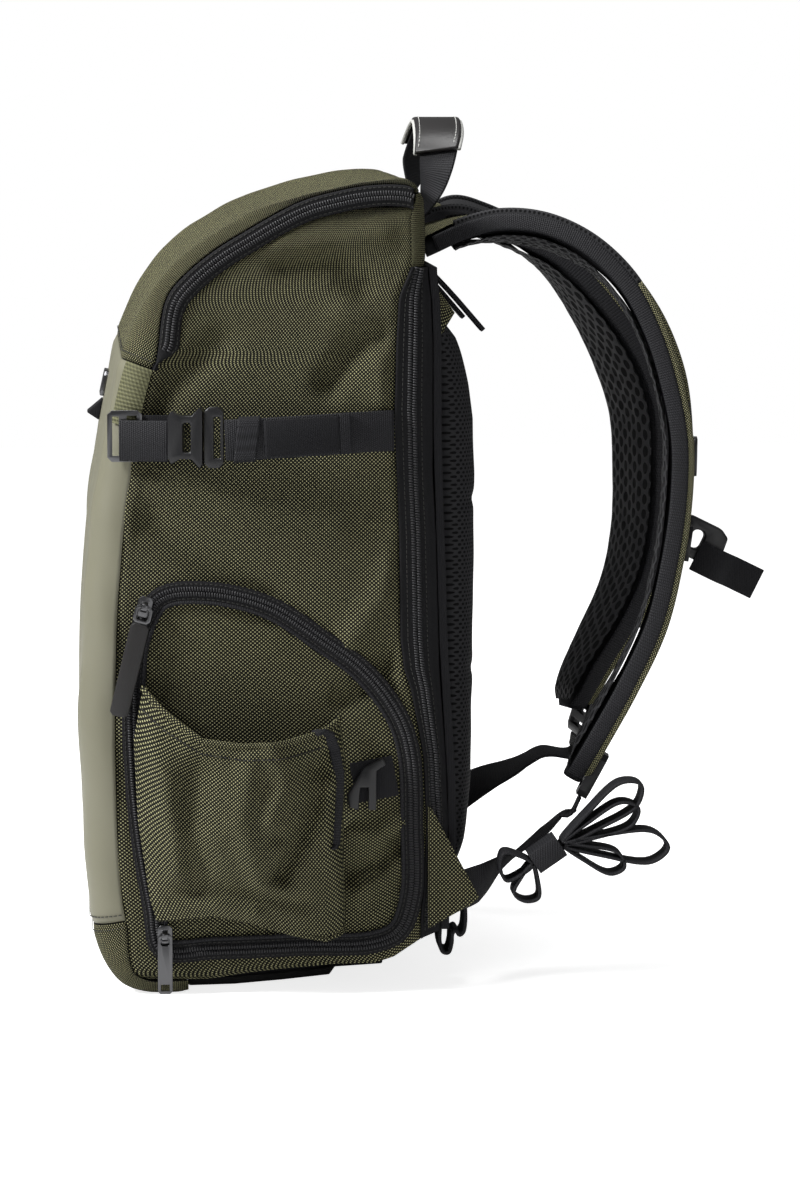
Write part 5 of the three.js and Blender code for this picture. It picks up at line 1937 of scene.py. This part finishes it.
    def faces(self) -> None:
        """Build the layers of cloth on the pad's two faces."""
        word = self.side.word

        def puffed(t: float, a: float) -> float:
            """How far the inner mesh stands out at a share along and across."""
            out = self.puff + self.lumps * ripple(t * 60, a * 5)
            return out * (1 - a ** 4) * smooth((self.last - t) * 30)

        top = STRAP_T / 2
        for name, start, end, reach, height, finish, lift in (
            ("mesh", 0.05, self.last, 0.93, -top, WIDE_MESH, puffed),
            ("patch", 0.0, 0.10, 0.95, top + 1.2 * MM, OLIVE, None),
            ("upper", 0.09, 0.40, 0.95, top + 0.3 * MM, MESH, None),
            ("stripe", 0.36, self.last, 0.95, top + 0.4 * MM, STRIPE, None),
        ):
            self.face(f"{name}_{word}", start, end, reach, height, finish, lift)

    def lock_point(self, further: float) -> Vector:
        """A point at the ladder lock, further down by a length."""
        _, tangent, _, _ = self.frame(self.lock_at)
        return self.point(self.lock_at, 0, STRAP_T / 2 + GAP + 3.5 * MM) + tangent * (9 * MM + further)

    def lower_web(self) -> None:
        """Webbing from the wing to the pad's end."""
        rows = LOWER[self.sign]
        points = [
            Vector((BACK + x * REACH, self.sign * HALF * y, z * HEIGHT)) for x, z, y, _ in rows.rows
        ]
        points += [self.lock_point(27.5 * MM), self.lock_point(16.2 * MM)]
        _, tangent, _, up = self.frame(self.lock_at)
        flat = tangent.cross(up)
        if flat.y * self.sign < 0:
            flat = -flat
        turns = [Vector((0, self.sign * math.sin(r[3]), math.cos(r[3]))) for r in rows.rows] + [flat, flat]

        def across(t: float) -> Vector:
            """The width's direction."""
            i = min(len(turns) - 2, int(t * (len(turns) - 1)))
            return turns[i].lerp(turns[i + 1], t * (len(turns) - 1) - i)

        path = Path.along(even(catmull(points), 90), across)
        word = self.side.word
        dress(sweep_mesh(f"lower_{word}", path, rounded_band(WEB, WEB_T)), WEBBING, (f"lower_web_{word}",))


@dataclass
class SideStrap:
    """The fastened strap across the right side."""

    start: float = -0.479 * DEPTH
    end: float = 0.303 * DEPTH
    height: float = 0.690 * HEIGHT
    bow: float = 15 * MM
    socket: float = -0.278 * DEPTH
    keeper: float = -0.110 * DEPTH
    keeper_half: float = 6.5 * MM
    label: tuple[float, float] = (-0.062 * DEPTH, 0.150 * DEPTH)
    fold: tuple[float, float] = (0.150 * DEPTH, 0.178 * DEPTH)

    def out(self, x: float) -> float:
        """Distance of the webbing from the middle plane."""
        k = clamp((x - self.start) / (self.end - self.start))
        return HALF + WEB_T + 2.5 * MM * (1 - k) + self.bow * math.sin(math.pi * k)

    def path(self, start: float, end: float, lift: float, count: int = 60) -> Path:
        """A line along the webbing.

        Args:
            start: First x.
            end: Last x.
            lift: Height above the webbing.
            count: Steps.

        Returns:
            The path.
        """
        points = [
            Vector((x, -(self.out(x) + lift), self.height + 0.012 * DEPTH * math.sin(x / DEPTH * 4)))
            for x in shares(start, end, count)
        ]
        return Path.along(points, lambda share: EZ)

    def build(self) -> None:
        """Build webbing, keeper and label."""
        ring_x = self.start + 7 * MM
        plug_end = self.socket + 10.5 * MM + GAP + 12 * MM
        band = rounded_band(WEB, WEB_T)
        for name, path, node in (
            ("strap_front", self.path(ring_x - 3 * MM, self.socket - 10.8 * MM, 0), "strap_web"),
            ("strap_rear", self.path(plug_end + 0.6 * MM, self.end, 0), "rear_web"),
            ("strap_end", self.path(plug_end + 0.6 * MM, self.fold[1], WEB_T + GAP), "strap_tail"),
        ):
            dress(sweep_mesh(name, path, band), WEBBING, (node,))
        tail = self.path(*self.fold, WEB_T * 1.6 + GAP, 12)
        dress(sweep_mesh("strap_fold", tail, rounded_band(WEB, WEB_T)), WEBBING)
        start, end = self.keeper - self.keeper_half, self.keeper + self.keeper_half
        keeper = self.path(start, end, (WEB_T + GAP) / 2, 12)
        dress(
            tube_mesh(
                "strap_elastic",
                lambda u, v: self.around(keeper, u, v), (12, 40), lambda u, v: (v * 0.06, u * 0.013), False,
            ),
            BINDING, ("strap_keeper",),
        )
        label = self.path(*self.label, WEB_T * 1.9 + GAP, 24)
        dress(sweep_mesh("strap_label", label, rounded_band(WEB - 3 * MM, 1.0 * MM)), BLACK)

    def around(self, path: Path, u: float, v: float) -> Vector:
        """A point of the elastic round the webbing.

        Args:
            path: The webbing under it.
            u: Share along the webbing.
            v: Share around it.

        Returns:
            The point.
        """
        i = round(u * (len(path.points) - 1))
        angle = math.tau * v
        c, s = math.cos(angle), math.sin(angle)
        a = math.copysign(abs(c) ** 0.35, c) * (WEB / 2 + 1.4 * MM)
        b = math.copysign(abs(s) ** 0.5, s) * (WEB_T + 1.4 * MM)
        slant = path.sides[i] * a + EX * (a * 0.16)
        return path.points[i] + slant + path.outs[i] * b


@dataclass
class Handle:
    """The carrying handle with its leather grip."""

    half: float = 0.050
    rise: float = 0.030
    grip: tuple[float, float] = (0.333, 0.767)
    grip_width: float = 29 * MM
    grip_thick: float = 3.4 * MM
    grip_lift: float = 3.7 * MM
    piping: float = 1.3 * MM
    piping_at: tuple[float, float] = (2.4 * MM, 14.6 * MM)
    row: tuple[float, float] = (0.34, 0.76)
    row_at: tuple[float, float] = (5.5 * MM, 11.5 * MM)
    stitch: float = 3.2 * MM

    def __post_init__(self) -> None:
        """Work out its line."""
        x0 = PROFILE.rows[-1][0] * DEPTH + WEB_T / 2 + GAP
        points = [
            Vector((x0 + x * REACH, y * self.half, HEIGHT + z * self.rise))
            for y, z, x, _ in HANDLE.rows
        ]
        self.line = catmull(points, per=20)
        self.turns = HANDLE.column("turn")

    def path(self, start: float, end: float, lift: float, across: float = 0.0) -> Path:
        """A line along the webbing.

        Args:
            start: First share.
            end: Last share.
            lift: Height over its middle.
            across: Distance over its width.

        Returns:
            The path.
        """
        n = len(self.line) - 1
        picks = range(round(start * n), round(end * n) + 1)
        points, sides, outs = [], [], []
        for i in picks:
            t = i / n
            tangent = (self.line[min(n, i + 1)] - self.line[max(0, i - 1)]).normalized()
            k = min(len(self.turns) - 2, int(t * (len(self.turns) - 1)))
            turn = mix(self.turns[k], self.turns[k + 1], t * (len(self.turns) - 1) - k)
            side = Vector((math.sin(turn), math.cos(turn) * (1 if t < 0.5 else -1), 0))
            side = (side - tangent * side.dot(tangent)).normalized()
            out = tangent.cross(side).normalized()
            if out.dot(Vector((0, self.line[i].y, 0.020))) < 0:
                out = -out
            points.append(self.line[i] + out * lift + side * across)
            sides.append(side)
            outs.append(out)
        return Path(points, sides, outs)

    def build(self) -> None:
        """Build webbing, grip and piping."""
        band = rounded_band(WEB, WEB_T)
        dress(sweep_mesh("handle_band", self.path(0, 1, 0), band), WEBBING, ("handle_web",))
        grip = self.path(*self.grip, self.grip_lift)
        section = rounded_band(self.grip_width, self.grip_thick, 5)
        dress(sweep_mesh("handle_leather", grip, section), LEATHER, ("handle_grip",))
        for name, side in (("near", 1), ("far", -1)):
            lift, across = self.piping_at
            edge = self.path(*self.grip, lift, side * across)
            dress(sweep_mesh(f"handle_piping_{name}", edge, ring(self.piping)), PALE_THREAD)
            lift, across = self.row_at
            row = self.path(*self.row, lift, side * across)
            stitches(f"handle_stitches_{name}", row, self.stitch, PALE_THREAD)


@dataclass
class Back:
    """The back panel with its two pads."""

    wide: float = 100 * MM
    channel: float = 22 * MM
    root: float = 5.6 * MM
    groove: float = 0.06
    grooves: tuple[float, float] = (0.36, 0.67)

    def pad(self, side: Side) -> None:
        """Build one pad.

        Args:
            side: The wearer's side.
        """
        low, high = PAD_FACE.rows[0][0] * HEIGHT, PAD_FACE.rows[-1][0] * HEIGHT
        middle = (self.channel + self.wide) / 2

        def place(u: float, v: float) -> Vector:
            """A point of the pad's face.

            Args:
                u: Share of its first direction, from 0 to 1.
                v: Share of its second direction, from 0 to 1.

            Returns:
                The point.
            """
            z = mix(low, high, v)
            face = PAD_FACE.at("z", "x", z / HEIGHT) * DEPTH
            back = SHELL.plane(z) + self.root
            a = abs(u * 2 - 1)
            across = (1 - a ** 5) ** 0.5
            ends = (1 - abs(v * 2 - 1) ** 14) ** 0.5
            grooves = 1 - self.groove * sum(bump(v - at, 0.012) for at in self.grooves)
            soft = 0.6 * MM * ripple(u * 6, v * 14)
            narrow = 1 - 0.12 * smooth(abs(v - 0.5) * 5 - 1.5)
            x = back + (face - back + soft) * across * ends * grooves
            return Vector((x, side.value * (middle + (u - 0.5) * self.wide * narrow), z))

        mesh = sheet_mesh(
            f"pad_back_{side.word}", place, (60, 150), lambda u, v: (u * 0.13, v * 0.36), EX
        )
        dress(mesh, MESH, (f"back_pad_{side.word}",), thickness=2 * MM)

    def build(self) -> None:
        """Build both pads and the panel."""
        for side in Side:
            self.pad(side)
        soften("back_panel", BLACK)


@dataclass
class Trims:
    """Small cloth pieces and the hardware."""

    bundle_tilt: float = 0.6
    bundle_at: tuple[float, float, float] = (0.412, -0.970, 0.171)
    bundle_root: float = 26 * MM * 0.42

    def plastics(self) -> None:
        """Hardware in the CAD's own forms with rounded edges."""
        for word in ("right", "left"):
            soften(f"d_ring_{word}", PLASTIC, 0.9 * MM)
            soften(f"chest_slider_{word}", PLASTIC, 0.8 * MM)
            soften(f"ladder_lock_{word}", PLASTIC, 1.0 * MM)
        for node, edge in (
            ("chest_socket", 1.4), ("chest_plug", 1.0), ("buckle_socket", 1.4), ("buckle_plug", 1.2),
            ("hook_buckle", 1.0),
        ):
            soften(node, PLASTIC, edge * MM)
        for node, edge, body in (
            ("strap_ring", 0.8, Body.PACK), ("door_slider", 0.4, Body.PACK),
            ("base_slider", 0.4, Body.PACK), ("pull_ring", 0.4, Body.DOOR_PULL),
            ("base_pull", 0.4, Body.LOWER_PULL), ("badge", 0.6, Body.PACK),
        ):
            soften(node, METAL, edge * MM, body)
        soften("pull_tab", LEATHER, 0.7 * MM, Body.DOOR_PULL)
        soften("front_tab", BLACK, 0.8 * MM)
        soften("base_pad", RUBBER, 1.2 * MM)
        soften("bottom_panel", BLACK, 0.6 * MM)

    def wings(self, side: Side) -> None:
        """The wing, the lifter's tail and the folded webbing on one side.

        Args:
            side: The wearer's side.
        """
        sign, word = side.value, side.word
        soften(f"wing_{word}", OLIVE, 0.7 * MM)
        self.gore(side)
        points = [
            Vector((BACK + dx * MM, sign * HALF * 0.5, z * HEIGHT))
            for dx, z in LIFTER_LINE
        ]
        path = Path.along(even(catmull(points), 20), lambda share: EY)
        mesh = sweep_mesh(f"lifter_{word}_web", path, rounded_band(20 * MM, 3 * MM))
        dress(mesh, WEBBING, (f"lifter_{word}",))
        points = [Vector((x * DEPTH, sign * HALF * 0.80, z * HEIGHT)) for x, z in REAR_LOOP.rows]
        path = Path.along(even(catmull(points), 80), lambda share: EY)
        mesh = sweep_mesh(f"rear_fold_{word}", path, rounded_band(26 * MM, 2.6 * MM))
        dress(mesh, WEBBING, (f"rear_loop_{word}",))

    def gore(self, side: Side) -> None:
        """The small cloth gore between the body and the strap on one side.

        Args:
            side: The wearer's side.
        """
        corners = [
            Vector((x * DEPTH, side.value * HALF * y, z * HEIGHT))
            for x, z, y in GORE.rows
        ]

        def place(u: float, v: float) -> Vector:
            """A point between the four corners, a little puffed.

            Args:
                u: Share of its first direction, from 0 to 1.
                v: Share of its second direction, from 0 to 1.

            Returns:
                The point.
            """
            flat = corners[0].lerp(corners[1], u).lerp(corners[3].lerp(corners[2], u), v)
            puff = 1.2 * MM * math.sin(math.pi * u) * math.sin(math.pi * v)
            return flat + EY * (side.value * puff)

        mesh = sheet_mesh(
            f"gore_{side.word}", place, (20, 24), lambda u, v: (u * 0.014, v * 0.034), EY * side.value
        )
        dress(mesh, OLIVE, thickness=1.6 * MM)

    def bundle(self) -> None:
        """Spare webbing folded into loops."""
        x, y, z = self.bundle_at
        middle = Vector((BACK + REACH * x, HALF * y, z * HEIGHT))
        along_it = Vector((math.cos(self.bundle_tilt), 0, math.sin(self.bundle_tilt)))
        for i, (start, reach, rise, full) in enumerate(BUNDLE_LOOPS.rows):
            root = middle + along_it * (start * self.bundle_root)
            tip = middle + Vector((reach * REACH, 0, rise * REACH))
            out = tip - root
            bulge = Vector((-out.z, 0, out.x)).normalized() * (full * REACH)
            points = [
                root + out * k + bulge * b
                for k, b in ((0, 0), (0.4, 0.7), (0.85, 1), (1, 0), (0.85, -1), (0.4, -0.7))
            ]
            path = Path.along(even(catmull(points, True), 60, True), lambda share: EY, True)
            node = ("web_bundle",) if i == 0 else ()
            dress(sweep_mesh(f"bundle_loop_{i}", path, rounded_band(20 * MM, WEB_T)), WEBBING, node)
        soften("bundle_keeper", BINDING, 0.5 * MM)

    def build(self) -> None:
        """Build all of them."""
        self.plastics()
        for side in Side:
            self.wings(side)
        self.bundle()
        for node in ("chest_web_right", "chest_web_left", "ring_loop", "hook_web"):
            soften(node, BLACK, 0.5 * MM)


LAMPS = (
    ("key", (-2.2, -0.85, 1.9), 0.6, 105.0),
    ("fill", (1.2, -2.6, 0.7), 1.4, 7.0),
    ("top", (-0.3, -0.2, 2.2), 1.0, 36.0),
)


@dataclass
class Studio:
    """Floor, lights and camera."""

    azimuth: float = -4.0
    elevation: float = 6.5
    distance: float = 3.0
    target: tuple[float, float, float] = (0.080, 0.0, 0.226)
    lens: float = 140.7
    sensor: float = 36.0
    ambient: float = 0.15
    backdrop: float = 1.0
    floor_half: float = 4.0
    floor_shade: float = 0.88
    floor_glow: float = 0.8

    def lamp(self, name: str, place: Sequence[float], size: float, power: float) -> None:
        """A soft square lamp that looks at the pack.

        Args:
            name: The lamp's name.
            place: Its place.
            size: Its width.
            power: Its power in watts.
        """
        data = bpy.data.lights.new(name, "AREA")
        data.size = size
        data.energy = power
        lamp = bpy.data.objects.new(name, data)
        lamp.location = place
        lamp.rotation_euler = (Vector(self.target) - Vector(place)).to_track_quat("-Z", "Y").to_euler()
        bpy.context.scene.collection.objects.link(lamp)

    def build(self) -> None:
        """Set the stage."""
        bm = bmesh.new()
        bmesh.ops.create_grid(bm, x_segments=2, y_segments=2, size=self.floor_half)
        floor = bpy.data.objects.new("floor", to_mesh("floor", bm))
        tree = Tree("floor_paint")
        rays = tree.node("ShaderNodeLightPath")
        shade = (*(self.floor_shade,) * 3, 1.0)
        tree.set(Base_Color=shade, Roughness=0.9, Emission_Strength=self.floor_glow)
        tree.set(Emission_Color=rays.outputs["Is Camera Ray"])
        floor.data.materials.append(tree.material)
        bpy.context.scene.collection.objects.link(floor)
        world = bpy.data.worlds.new("studio")
        world.use_nodes = True
        world.node_tree.nodes["Background"].inputs[0].default_value = (1.0, 1.0, 1.0, 1.0)
        world.node_tree.nodes["Background"].inputs[1].default_value = self.ambient
        nodes, links = world.node_tree.nodes, world.node_tree.links
        seen = nodes.new("ShaderNodeBackground")
        seen.inputs[0].default_value = (1.0, 1.0, 1.0, 1.0)
        seen.inputs[1].default_value = self.backdrop
        rays, choice = nodes.new("ShaderNodeLightPath"), nodes.new("ShaderNodeMixShader")
        links.new(rays.outputs["Is Camera Ray"], choice.inputs[0])
        links.new(nodes["Background"].outputs[0], choice.inputs[1])
        links.new(seen.outputs[0], choice.inputs[2])
        links.new(choice.outputs[0], nodes["World Output"].inputs[0])
        bpy.context.scene.world = world
        bpy.context.scene.view_settings.view_transform = "Standard"
        for name, place, size, power in LAMPS:
            self.lamp(name, place, size, power)
        data = bpy.data.cameras.new("camera")
        data.sensor_fit = "VERTICAL"
        data.sensor_height = self.sensor
        data.lens = self.lens
        camera = bpy.data.objects.new("camera", data)
        a, e = math.radians(self.azimuth), math.radians(self.elevation)
        offset = Vector((math.sin(a) * math.cos(e), -math.cos(a) * math.cos(e), math.sin(e)))
        camera.location = Vector(self.target) + offset * self.distance
        camera.rotation_euler = (-offset).to_track_quat("-Z", "Y").to_euler()
        bpy.context.scene.collection.objects.link(camera)
        bpy.context.scene.camera = camera


def main() -> None:
    """Build all pieces in order."""
    logging.basicConfig(level=logging.INFO, format="%(message)s")
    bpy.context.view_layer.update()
    Studio().build()
    BodyWrap().build()
    for side in Side:
        SidePanel(side).build()
        TopZip(side).build()
        Harness(side).build()
    Door().build()
    Pocket().build()
    Back().build()
    SideStrap().build()
    Handle().build()
    Trims().build()


if __name__ == "__main__":
    main()
